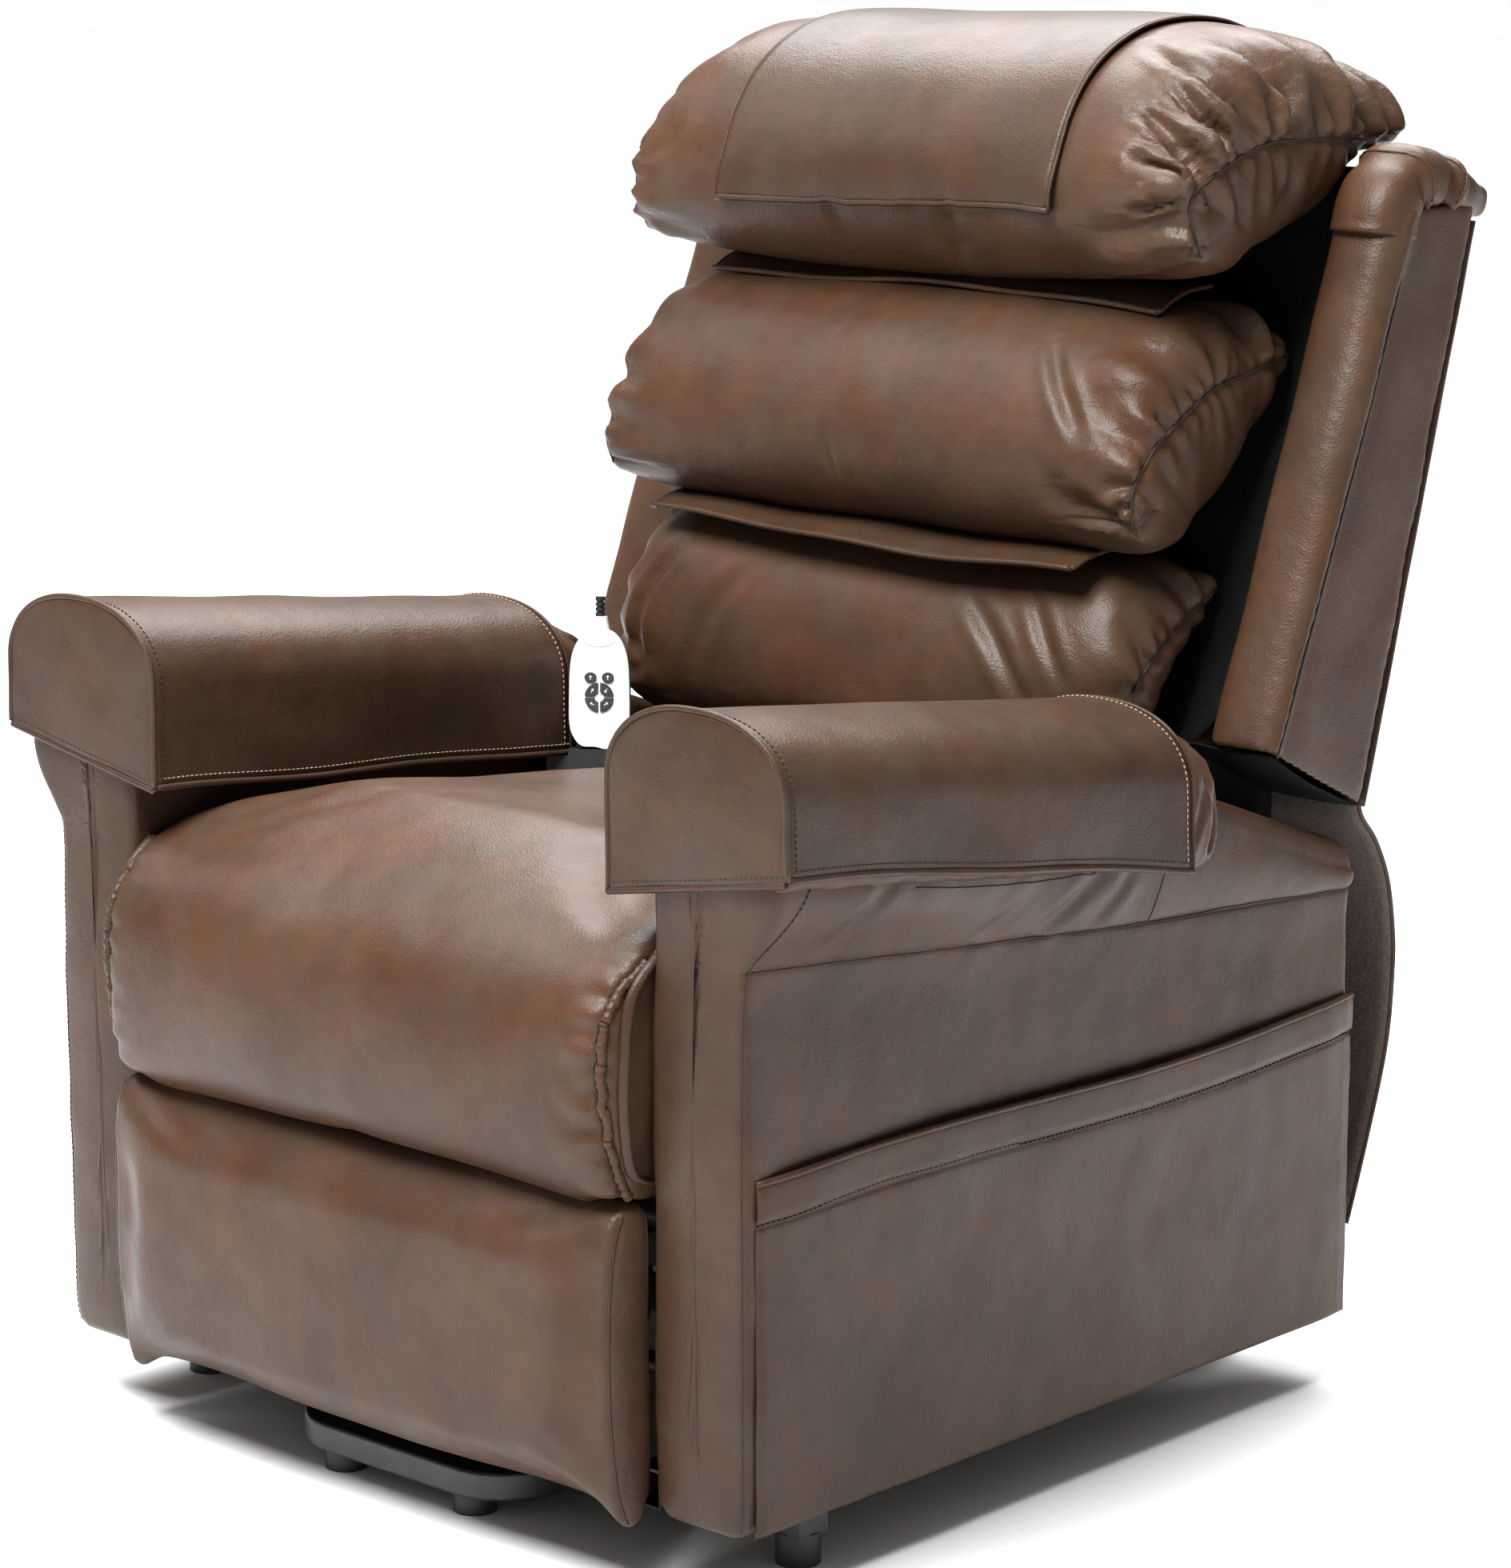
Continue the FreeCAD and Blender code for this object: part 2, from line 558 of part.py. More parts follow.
def side_pocket():
    """A leather panel on the outside of the arm, joined below and at its two ends."""
    inner = ARM_OUTER_X
    outer = ARM_OUTER_X + 7.0
    whole = box(inner, outer, FRONT_Y + 12, REAR_Y - 2, 56, 312)
    space = box(inner - 1, inner + 5.0, FRONT_Y + 15, REAR_Y - 5, 60, 313)
    return whole.cut(space)


# ---- backrest --------------------------------------------------------------------------------
PLATE_X = (240.0, 248.0)
POST_X = (250.0, 268.0)
LUMBAR = [(96, 560), (108, 500), (145, 462), (174, 480), (206, 560), (240, 640), (200, 652), (140, 632)]
MIDDLE = [(101, 712), (125, 675), (180, 664), (258, 684), (292, 755), (322, 826), (255, 842), (160, 815)]
HEAD = [
    (138, 905), (152, 876), (200, 864), (270, 866), (343, 884), (374, 948),
    (438, 968), (420, 1012), (370, 1046), (300, 1062), (220, 1054), (160, 1000),
]
WING_OUTLINE = [(172, 522), (298, 457), (431, 908), (455, 925), (425, 944), (360, 960), (326, 932)]


def backrest():
    y, z = RECLINE_PIVOT
    crank = CRANK_CENTRE
    low = link_plate(RECLINE_PIVOT, crank, 14, *PLATE_X)
    high = profile_x(
        [(y - 14, z), (y + 14, z), (back_rear(440) - 20, 440), (back_rear(560) - 40, 560),
         (back_front(560) + 12, 560), (back_front(440) + 8, 440)], *PLATE_X
    )
    plate = joined(low, high, rod_x(RECLINE_PIVOT, 18, *PLATE_X))
    plate = plate.cut(rod_x(RECLINE_PIVOT, LIFT_PIN_RADIUS + RUNNING, PLATE_X[0] - 1, PLATE_X[1] + 1))
    tube = rod_x(crank, 9, -PLATE_X[0], PLATE_X[0]).cut(rod_x(crank, 7, -PLATE_X[0] - 1, PLATE_X[0] + 1))
    lug = link_plate(crank, RECLINE_ROD_PIVOT, 12, -5, 5).cut(rod_x(crank, 9, -6, 6))
    save("back_side_plates", both_sides(plate) + [tube, lug])

    low_z = 405.0
    high_z = 930.0
    post = profile_x(
        [(back_front(low_z) + 3, low_z), (back_rear(low_z) - 4, low_z),
         (back_rear(high_z) - 4, high_z), (back_front(high_z) + 3, high_z)], *POST_X
    )
    rails = []
    for height in (430.0, 690.0, 905.0):
        middle = (back_front(height) + back_rear(height)) / 2 + 8
        rails.append(box(-POST_X[0], POST_X[0], middle - 11, middle + 11, height - 22, height + 22))
    rails[0] = rails[0].cut(box(PLATE_X[0] - 1, PLATE_X[1] + 2, 0, 400, 400, 460))
    rails[0] = rails[0].cut(box(-PLATE_X[1] - 2, -PLATE_X[0] + 1, 0, 400, 400, 460))
    rails[0] = max(rails[0].Solids, key=lambda solid: solid.Volume)
    save("back_frame", both_sides(post) + rails)

    straps = []
    for height in (520.0, 600.0, 680.0, 760.0, 840.0):
        start = (back_front(height - 22) + 5.5, height - 22)
        end = (back_front(height + 22) + 5.5, height + 22)
        straps.append(strip_along([start, end], 2.0, -PLATE_X[0] + 2, PLATE_X[0] - 2))
    save("back_webbing", straps)
    lining_low = strip_along([(back_front(436), 436), (back_front(526), 526)], 2.0, -268, 268)
    lining_high = strip_along([(back_front(526), 526), (back_front(945), 945)], 2.0, -296, 296)
    save("back_lining", joined(lining_low, lining_high))
    cover_line = [(back_rear(457) + 1.5, 457), (back_rear(905) + 1.5, 905)]
    cover = strip_along(cover_line, 3.0, -ARM_OUTER_X, ARM_OUTER_X)
    save("back_cover", cover)
    wing = profile_x(WING_OUTLINE, WING_INNER_X, ARM_OUTER_X)
    board = profile_x(shrunk(WING_OUTLINE[:3] + [(340, 930)], (305, 710), 0.86), 321, 333)
    for name, placed in (("left", lambda shape: shape), ("right", mirrored)):
        save("wing_" + name, placed(wing.cut(cover).cut(board)))
    save("wing_boards", both_sides(board))

    save("lumbar_cushion", pillow(LUMBAR, (222, 605), 266, 0.30, 0.78))
    save("middle_cushion", pillow(MIDDLE, (290, 770), 272, 0.30))
    save("head_cushion", pillow(HEAD, (380, 945), 294, 0.36))
    upper_flap = strip_along([(202, 849), (270, 854), (330, 856)], 2.5, -230, 230)
    lower_flap = strip_along([(118, 655), (170, 656), (245, 660)], 2.5, -218, 218)
    save("cushion_flaps", [upper_flap, lower_flap])
    save("head_cover", head_cover())


def head_cover():
    """A loose cover over the head cushion's crown, from its front to the back of the chair."""
    line = shrunk([HEAD[0]] + HEAD[:5:-1], (290, 955), 1.02)
    return strip_along(line, 2.0, -172, 172)


def curtain():
    """The loose cloth that closes the back, from the backrest's lower edge to the body's foot."""
    line = [(307, 452), (327, 428), (345, 391), (354, 350), (356, 318), (351, 257), (330, 185), (304, 118)]
    save("rear_curtain", strip_along(line, 2.5, -348, 348))


# ---- handset ---------------------------------------------------------------------------------
HANDSET_FOOT = Vector(-208, 30, 469)
HANDSET_TURN = 40.0
HANDSET_LEAN = -7.0
HANDSET_OUTLINE = [
    (0, 0), (14, 1.5), (21.5, 10), (24.5, 32), (24, 60), (19, 84), (10, 94),
    (-10, 94), (-19, 84), (-24, 60), (-24.5, 32), (-21.5, 10), (-14, 1.5),
]
SHELL = 1.8
FACE_DEPTH = 11.0
BACK_DEPTH = 9.0
BUTTON_TRAVEL = 1.5


def placed_handset(shape):
    shape = shape.copy()
    shape.rotate(Vector(0, 0, 0), Vector(1, 0, 0), HANDSET_LEAN)
    shape.rotate(Vector(0, 0, 0), Vector(0, 0, 1), HANDSET_TURN)
    shape.translate(HANDSET_FOOT)
    return shape


def handset_slab(share, y0, y1):
    centre = (0.0, 47.0)
    points = shrunk(HANDSET_OUTLINE, centre, share)
    curve = Part.BSplineCurve()
    curve.interpolate([Vector(x, y0, z) for x, z in points], PeriodicFlag=True)
    return Part.Face(Part.Wire(curve.toShape())).extrude(Vector(0, y1 - y0, 0))


def button_shape(index, grow):
    """Two round buttons above a ring of four quadrant buttons."""
    y0 = -FACE_DEPTH - 1.6
    y1 = -FACE_DEPTH + SHELL + 2.0
    if index < 2:
        x = -7.0 if index == 0 else 7.0
        disc = Part.makeCylinder(1, y1 - y0, Vector(0, y0, 0), Vector(0, 1, 0))
        matrix = FreeCAD.Matrix()
        matrix.scale(Vector(4.6 + grow, 1, 3.8 + grow))
        disc = disc.transformGeometry(matrix)
        disc.translate(Vector(x, 0, 57))
        return disc
    ring_z = 41.0
    disc = Part.makeCylinder(11.5 + grow, y1 - y0, Vector(0, y0, ring_z), Vector(0, 1, 0))
    disc = disc.cut(Part.makeCylinder(4.2 - grow, y1 - y0, Vector(0, y0, ring_z), Vector(0, 1, 0)))
    side_x = -1 if index in (2, 4) else 1
    side_z = 1 if index in (2, 3) else -1
    gap = 1.1 - grow
    x0, x1 = sorted((side_x * gap, side_x * 14.0))
    z0, z1 = sorted((side_z * gap, side_z * 14.0))
    return disc.common(box(x0, x1, y0 - 1, y1 + 1, ring_z + z0, ring_z + z1))


def handset():
    front = handset_slab(1.0, -FACE_DEPTH, 0)
    front = front.cut(handset_slab(0.92, -FACE_DEPTH + SHELL, 1))
    neck = Part.makeCone(8.5, 6.0, 14, Vector(0, 0, 92), Vector(0, 0, 1))
    neck = neck.cut(handset_slab(1.0, -FACE_DEPTH, BACK_DEPTH))
    neck = neck.cut(Part.makeCylinder(4.0, 30, Vector(0, 0, 90), Vector(0, 0, 1)))
    front = joined(front, neck)
    for index in range(6):
        front = front.cut(button_shape(index, 0.35))
    front = front.cut(Part.makeCylinder(4.0, 40, Vector(0, 0, 86), Vector(0, 0, 1)))
    front = max(front.Solids, key=lambda solid: solid.Volume)
    save("handset_front_shell", placed_handset(front))
    rear = handset_slab(1.0, 0, BACK_DEPTH).cut(handset_slab(0.92, -1, BACK_DEPTH - SHELL))
    rear = rear.cut(Part.makeCylinder(4.0, 40, Vector(0, 0, 86), Vector(0, 0, 1)))
    rear = rear.cut(neck)
    save("handset_rear_shell", placed_handset(rear))
    relief = Part.makeCylinder(3.9, 34, Vector(0, 0, 88), Vector(0, 0, 1))
    for step in range(3):
        z = 109.0 + step * 4.0
        ring = Part.makeCylinder(6, 1.6, Vector(0, 0, z), Vector(0, 0, 1))
        relief = relief.cut(ring.cut(Part.makeCylinder(2.9, 1.6, Vector(0, 0, z), Vector(0, 0, 1))))
    save("handset_strain_relief", placed_handset(relief))
    for index in range(6):
        button = button_shape(index, 0.0)
        save("handset_button_" + str(index + 1), placed_handset(button))
    foot = box(-25, 25, -14, 13, -26, -1.5)
    back = box(-20, 20, 10.0, 13, -6, 52)
    stay = box(-44, -20, 6.0, 13, -26, -8)
    save("handset_holder", placed_handset(joined(foot, back, stay)))


base()
linkage()
actuators()
carriage()
seat()
footrest()
arms()
backrest()
curtain()
handset()
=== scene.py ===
import bpy
import json
import math
import random

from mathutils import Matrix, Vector, noise
from mathutils.bvhtree import BVHTree
from mathutils.kdtree import KDTree


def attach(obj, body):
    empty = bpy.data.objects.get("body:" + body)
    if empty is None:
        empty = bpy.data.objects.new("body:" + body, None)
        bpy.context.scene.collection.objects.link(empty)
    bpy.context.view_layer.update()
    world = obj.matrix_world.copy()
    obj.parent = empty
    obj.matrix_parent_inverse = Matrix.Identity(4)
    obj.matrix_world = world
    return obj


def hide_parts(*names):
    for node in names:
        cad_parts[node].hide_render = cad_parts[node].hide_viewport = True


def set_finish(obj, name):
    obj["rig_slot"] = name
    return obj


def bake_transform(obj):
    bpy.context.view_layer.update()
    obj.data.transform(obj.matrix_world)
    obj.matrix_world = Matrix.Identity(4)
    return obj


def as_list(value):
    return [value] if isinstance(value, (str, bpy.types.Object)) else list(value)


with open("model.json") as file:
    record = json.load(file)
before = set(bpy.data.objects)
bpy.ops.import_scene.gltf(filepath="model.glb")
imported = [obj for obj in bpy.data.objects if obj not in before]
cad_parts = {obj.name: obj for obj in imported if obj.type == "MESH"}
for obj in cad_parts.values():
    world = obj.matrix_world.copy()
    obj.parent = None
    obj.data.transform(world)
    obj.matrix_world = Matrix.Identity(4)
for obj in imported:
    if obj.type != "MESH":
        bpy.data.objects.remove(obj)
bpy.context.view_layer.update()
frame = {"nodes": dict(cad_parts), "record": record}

# Lift recliner chair.  Metres, +Z up, the sitter faces -Y, +X is the sitter's left.

scene = bpy.context.scene
nodes = frame["nodes"]


# ---- camera -------------------------------------------------------------------------------
def place_camera():
    azimuth = math.radians(42.3)
    elevation = math.radians(12.32)
    back = Vector((
        math.sin(azimuth) * math.cos(elevation),
        -math.cos(azimuth) * math.cos(elevation),
        math.sin(elevation),
    ))
    data = bpy.data.cameras.new("camera")
    data.sensor_width = 36.0
    data.lens = 115.85
    data.shift_x = -0.0182
    data.shift_y = 0.0055
    camera = bpy.data.objects.new("camera", data)
    scene.collection.objects.link(camera)
    camera.location = (2.6030, -2.8372, 1.3070)
    camera.rotation_euler = back.to_track_quat("Z", "Y").to_euler()
    scene.camera = camera


place_camera()


# ---- materials ----------------------------------------------------------------------------
WHITE = (1.0, 1.0, 1.0)


def add_node(tree, kind, **inputs):
    node = tree.nodes.new(kind)
    for name, value in inputs.items():
        node.inputs[name.replace("_", " ")].default_value = value
    return node


def start_material(name, rough, metallic=0.0):
    material = bpy.data.materials.new(name)
    material.use_nodes = True
    tree = material.node_tree
    shader = tree.nodes["Principled BSDF"]
    shader.inputs["Roughness"].default_value = rough
    shader.inputs["Metallic"].default_value = metallic
    place = tree.nodes.new("ShaderNodeTexCoord").outputs["Object"]
    return material, tree, shader, place


def noise_at(tree, place, scale, detail=3.0, rough=0.55, distortion=0.0):
    node = add_node(
        tree, "ShaderNodeTexNoise", Scale=scale, Detail=detail, Roughness=rough, Distortion=distortion
    )
    tree.links.new(place, node.inputs["Vector"])
    return node.outputs["Fac"]


def ramp(tree, value, stops):
    node = tree.nodes.new("ShaderNodeValToRGB")
    tree.links.new(value, node.inputs["Fac"])
    elements = node.color_ramp.elements
    while len(elements) < len(stops):
        elements.new(0.5)
    for element, (position, colour) in zip(elements, stops):
        element.position = position
        element.color = (*colour, 1.0)
    return node.outputs["Color"]


def blend_colours(tree, factor, first, second, kind="MIX"):
    node = tree.nodes.new("ShaderNodeMix")
    node.data_type = "RGBA"
    node.blend_type = kind
    if isinstance(factor, float):
        node.inputs[0].default_value = factor
    else:
        tree.links.new(factor, node.inputs[0])
    tree.links.new(first, node.inputs[6])
    tree.links.new(second, node.inputs[7])
    return node.outputs[2]


def spread(tree, value, low, high):
    node = tree.nodes.new("ShaderNodeMapRange")
    tree.links.new(value, node.inputs["Value"])
    node.inputs["To Min"].default_value = low
    node.inputs["To Max"].default_value = high
    return node.outputs["Result"]


def bump(tree, height, distance, strength=1.0, before=None):
    node = add_node(tree, "ShaderNodeBump", Distance=distance, Strength=strength)
    tree.links.new(height, node.inputs["Height"])
    if before is not None:
        tree.links.new(before, node.inputs["Normal"])
    return node.outputs["Normal"]


def stretched(tree, place, scale):
    node = tree.nodes.new("ShaderNodeMapping")
    node.inputs["Scale"].default_value = scale
    tree.links.new(place, node.inputs["Vector"])
    return node.outputs["Vector"]


def leather(name, lift, cool):
    """Satin hide: cloudy two-tone dye, pebble grain and faint creases."""
    material, tree, shader, place = start_material(name, 0.42)
    red = (0.075 * lift, (0.0345 + cool) * lift, (0.0175 + cool) * lift)
    grey = (0.069 * lift, (0.0400 + cool) * lift, (0.0245 + cool) * lift)
    dark = (0.040 * lift, (0.0200 + cool) * lift, (0.0115 + cool) * lift)
    dye = ramp(tree, noise_at(tree, stretched(tree, place, (1.0, 1.0, 0.75)), 15.0, 4.0, 0.60, 0.6),
               [(0.38, red), (0.60, grey)])
    cloud = ramp(tree, noise_at(tree, place, 9.0, 3.0, 0.6), [(0.34, (0.74, 0.70, 0.68)), (0.62, WHITE)])
    fleck = ramp(tree, noise_at(tree, place, 70.0, 3.0, 0.6), [(0.30, (0.90, 0.89, 0.88)), (0.60, WHITE)])
    stain = tree.nodes.new("ShaderNodeRGB")
    stain.outputs[0].default_value = (*dark, 1.0)
    spot = spread(tree, noise_at(tree, place, 34.0, 2.0, 0.5), -0.55, 0.95)
    clamp = tree.nodes.new("ShaderNodeClamp")
    tree.links.new(spot, clamp.inputs["Value"])
    base = blend_colours(tree, clamp.outputs["Result"], dye, stain.outputs[0])
    base = blend_colours(tree, 0.55, dye, base)
    base = blend_colours(tree, 1.0, base, cloud, "MULTIPLY")
    base = blend_colours(tree, 1.0, base, fleck, "MULTIPLY")
    tree.links.new(base, shader.inputs["Base Color"])
    rough = spread(tree, noise_at(tree, place, 26.0, 3.0), 0.32, 0.48)
    tree.links.new(rough, shader.inputs["Roughness"])
    shader.inputs["Specular IOR Level"].default_value = 0.22
    pebble = tree.nodes.new("ShaderNodeTexVoronoi")
    pebble.feature = "SMOOTH_F1"
    pebble.inputs["Scale"].default_value = 620.0
    tree.links.new(place, pebble.inputs["Vector"])
    normal = bump(tree, pebble.outputs["Distance"], 0.00030, 0.75)
    normal = bump(tree, noise_at(tree, place, 150.0, 4.0, 0.6), 0.0007, 0.35, normal)
    normal = bump(tree, noise_at(tree, place, 32.0, 2.0, 0.5), 0.0022, 0.30, normal)
    tree.links.new(normal, shader.inputs["Normal"])
    return material


def speckled(name, colour, other, rough, grain, depth, metallic=0.0, scale=40.0):
    """Moulded, painted, plated or rubber surfaces: faint tone change and a fine grain."""
    material, tree, shader, place = start_material(name, rough, metallic)
    tone = ramp(tree, noise_at(tree, place, scale), [(0.35, colour), (0.65, other)])
    tree.links.new(tone, shader.inputs["Base Color"])
    rub = spread(tree, noise_at(tree, place, scale * 3), rough - 0.06, rough + 0.08)
    tree.links.new(rub, shader.inputs["Roughness"])
    tree.links.new(bump(tree, noise_at(tree, place, grain, 2.0), depth, 0.6), shader.inputs["Normal"])
    return material


def nonwoven(name, colour, other):
    """Felted lining cloth with fibres and wrinkles."""
    material, tree, shader, place = start_material(name, 0.92)
    fibre = noise_at(tree, stretched(tree, place, (1.0, 3.0, 1.0)), 420.0, 3.0, 0.7)
    tone = ramp(tree, fibre, [(0.35, colour), (0.68, other)])
    tree.links.new(tone, shader.inputs["Base Color"])
    shader.inputs["Specular IOR Level"].default_value = 0.12
    normal = bump(tree, fibre, 0.0004, 0.7)
    wrinkle = noise_at(tree, stretched(tree, place, (1.0, 1.0, 0.45)), 60.0, 4.0, 0.6, 0.8)
    normal = bump(tree, wrinkle, 0.004, 0.5, normal)
    tree.links.new(normal, shader.inputs["Normal"])
    return material


def timber_material(name):
    material, tree, shader, place = start_material(name, 0.62)
    wave = add_node(tree, "ShaderNodeTexWave", Scale=28.0, Distortion=7.0, Detail=3.0)
    wave.bands_direction = "Z"
    tree.links.new(place, wave.inputs["Vector"])
    tone = ramp(tree, wave.outputs["Fac"], [(0.2, (0.42, 0.27, 0.14)), (0.8, (0.60, 0.44, 0.26))])
    tree.links.new(tone, shader.inputs["Base Color"])
    fibre = noise_at(tree, stretched(tree, place, (1.0, 0.1, 1.0)), 300.0)
    tree.links.new(bump(tree, fibre, 0.0004, 0.6), shader.inputs["Normal"])
    return material


def thread(name, colour):
    material, tree, shader, place = start_material(name, 0.75)
    shade = tuple(part * 0.6 for part in colour)
    tone = ramp(tree, noise_at(tree, place, 900.0), [(0.3, shade), (0.7, colour)])
    tree.links.new(tone, shader.inputs["Base Color"])
    tree.links.new(bump(tree, noise_at(tree, place, 1600.0), 0.0002), shader.inputs["Normal"])
    return material


HIDE = leather("leather_hide", 0.98, 0.0)
HIDE_PANEL = leather("leather_panel_hide", 0.80, 0.002)
TAN_THREAD = thread("tan_thread", (0.40, 0.29, 0.20))
DARK_THREAD = thread("dark_thread", (0.030, 0.018, 0.013))
BLACK_STEEL = speckled(
    "powder_coated_steel", (0.012, 0.012, 0.013), (0.020, 0.020, 0.021), 0.42, 900.0, 0.0002
)
ZINC = speckled("zinc_plate", (0.50, 0.51, 0.52), (0.62, 0.62, 0.61), 0.30, 500.0, 0.0001, 1.0)
BLACK_PLASTIC = speckled("moulded_black", (0.016, 0.016, 0.017), (0.024, 0.024, 0.025), 0.45, 1400.0, 0.0002)
RUBBER = speckled("button_rubber", (0.028, 0.032, 0.036), (0.040, 0.045, 0.050), 0.60, 1200.0, 0.0002)
WHITE_PLASTIC = speckled("moulded_white", (0.78, 0.79, 0.80), (0.84, 0.85, 0.85), 0.28, 900.0, 0.00005)
PRINT = speckled("key_marks", (0.75, 0.76, 0.77), (0.82, 0.82, 0.83), 0.55, 1500.0, 0.00005)
LINING = nonwoven("black_nonwoven", (0.003, 0.003, 0.0035), (0.009, 0.009, 0.010))
GREY_CLOTH = nonwoven("grey_nonwoven", (0.085, 0.066, 0.058), (0.16, 0.13, 0.115))
TIMBER = timber_material("sawn_timber")

NODE_MATERIALS = {
    "black_steel": BLACK_STEEL, "zinc_steel": ZINC, "black_plastic": BLACK_PLASTIC, "dark_rubber": RUBBER,
    "white_plastic": WHITE_PLASTIC, "timber": TIMBER, "black_lining": LINING,
}


def dress_cad_nodes():
    for part in frame["record"]["subparts"]:
        material = NODE_MATERIALS.get(part["material_slot"])
        if material is None:
            continue
        piece = nodes[part["node"]]
        for place in piece.material_slots:
            place.material = material


# ---- curves and meshes --------------------------------------------------------------------
def ease(value):
    value = min(max(value, 0.0), 1.0)
    return value * value * (3.0 - 2.0 * value)


def smooth_line(points, count, closed=False):
    """A Catmull-Rom curve through the points, resampled evenly."""
    points = [Vector(p) for p in points]
    total = len(points)
    dense = []
    for i in range(total if closed else total - 1):
        if closed:
            p0, p1, p2, p3 = (points[(i + k) % total] for k in (-1, 0, 1, 2))
        else:
            p0, p1, p2, p3 = (points[min(max(i + k, 0), total - 1)] for k in (-1, 0, 1, 2))
        for step in range(10):
            t = step / 10.0
            dense.append(0.5 * (2 * p1 + (p2 - p0) * t + (2 * p0 - 5 * p1 + 4 * p2 - p3) * t * t
                                + (3 * p1 - p0 - 3 * p2 + p3) * t * t * t))
    dense.append(points[0] if closed else points[-1])
    return even_line(dense, count, closed)


def even_line(points, count, closed=False):
    lengths = [0.0]
    for a, b in zip(points, points[1:]):
        lengths.append(lengths[-1] + (b - a).length)
    result = []
    k = 0
    for i in range(count):
        target = lengths[-1] * i / (count if closed else count - 1)
        while k < len(lengths) - 2 and lengths[k + 1] < target:
            k += 1
        span = lengths[k + 1] - lengths[k]
        result.append(points[k].lerp(points[k + 1], (target - lengths[k]) / span if span > 0 else 0.0))
    return result


def side_curve(outline, count, closed=False):
    """A smooth curve in the chair's middle plane through (y, z) points."""
    return smooth_line([(0.0, y, z) for y, z in outline], count, closed)


def run_length(path):
    return sum((b - a).length for a, b in zip(path, path[1:]))


def rounded_ends(half, rounding, columns):
    """Places across the chair as (x, share): level in the middle, share rises round both ends."""
    inner = half - rounding
    ends = []
    for k in range(7):
        angle = math.pi / 2 * k / 6.0
        ends.append((inner + rounding * math.sin(angle), 1.0 - math.cos(angle)))
    middle = [(-inner + 2 * inner * k / columns, 0.0) for k in range(1, columns)]
    return [(-x, share) for x, share in ends[::-1]] + middle + ends


def centre_of(ring):
    middle = Vector((0.0, 0.0, 0.0))
    for p in ring:
        middle += p / len(ring)
    return middle


def add_piece(name, points, faces, material, slot, body):
    mesh = bpy.data.meshes.new(name)
    mesh.from_pydata([tuple(p) for p in points], [], faces)
    mesh.materials.append(material)
    mesh.polygons.foreach_set("use_smooth", [True] * len(mesh.polygons))
    piece = bpy.data.objects.new(name, mesh)
    scene.collection.objects.link(piece)
    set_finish(piece, slot)
    if body:
        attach(piece, body)
    return piece


def ring_faces(rings, sides, closed_ring=True, caps=True):
    faces = []
    last = sides if closed_ring else sides - 1
    for i in range(rings - 1):
        for j in range(last):
            k = (j + 1) % sides
            faces.append((i * sides + j, i * sides + k, (i + 1) * sides + k, (i + 1) * sides + j))
    if caps:
        faces.append(tuple(range(sides))[::-1])
        faces.append(tuple((rings - 1) * sides + j for j in range(sides)))
    return faces


def settle(piece):
    """Applies the piece's modifiers to its mesh."""
    graph = bpy.context.evaluated_depsgraph_get()
    mesh = bpy.data.meshes.new_from_object(piece.evaluated_get(graph))
    piece.modifiers.clear()
    old = piece.data
    piece.data = mesh
    bpy.data.meshes.remove(old)
    mesh.polygons.foreach_set("use_smooth", [True] * len(mesh.polygons))
    return piece


def outward(piece):
    """Makes the faces of a closed piece look outwards."""
    mesh = piece.data
    volume = 0.0
    for polygon in mesh.polygons:
        volume += polygon.center.dot(polygon.normal) * polygon.area
    if volume < 0:
        mesh.flip_normals()
    return piece


def skin(name, points, sides, material=HIDE, slot="leather_cushion"):
    """A closed piece over rings of points that follow one another in the list."""
    faces = ring_faces(len(points) // sides, sides)
    return outward(add_piece(name, points, faces, material, slot, None))


def remeshed(piece, size):
    modifier = piece.modifiers.new("voxels", "REMESH")
    modifier.mode = "VOXEL"
    modifier.voxel_size = size
    return settle(piece)


def subdivided(piece, levels=1):
    modifier = piece.modifiers.new("subdivision", "SUBSURF")
    modifier.levels = levels
    modifier.render_levels = levels
    return settle(piece)


def thickened(piece, thickness, offset=-1.0, inner=0):
    modifier = piece.modifiers.new("thickness", "SOLIDIFY")
    modifier.thickness = thickness
    modifier.offset = offset
    modifier.material_offset = inner
    return settle(piece)


def inflate(piece, limit, held=None, pressure=4.0, frames=20):
    """Fills a closed skin like a cushion and caps how far any point may move."""
    start = [vertex.co.copy() for vertex in piece.data.vertices]
    modifier = piece.modifiers.new("filling", "CLOTH")
    cloth = modifier.settings
    cloth.quality = 4
    cloth.mass = 0.3
    cloth.tension_stiffness = 14
    cloth.compression_stiffness = 14
    cloth.shear_stiffness = 5
    cloth.bending_stiffness = 0.5
    cloth.use_pressure = True
    cloth.uniform_pressure_force = pressure
    cloth.effector_weights.gravity = 0.0
    if held:
        group = piece.vertex_groups.new(name="held")
        for index, vertex in enumerate(piece.data.vertices):
            weight = held(vertex.co)
            if weight > 0:
                group.add([index], weight, "REPLACE")
        cloth.vertex_group_mass = "held"
    modifier.point_cache.frame_start = 1
    modifier.point_cache.frame_end = frames
    for step in range(1, frames + 1):
        scene.frame_set(step)
    settle(piece)
    scene.frame_set(1)
    piece.vertex_groups.clear()
    for vertex, before in zip(piece.data.vertices, start):
        move = vertex.co - before
        allowed = limit(before) if callable(limit) else limit
        if move.length > allowed:
            vertex.co = before + move * (allowed / move.length)
    piece.data.update()


def relax(piece, rounds=4, share=0.5):
    modifier = piece.modifiers.new("smoothing", "SMOOTH")
    modifier.factor = share
    modifier.iterations = rounds
    return settle(piece)


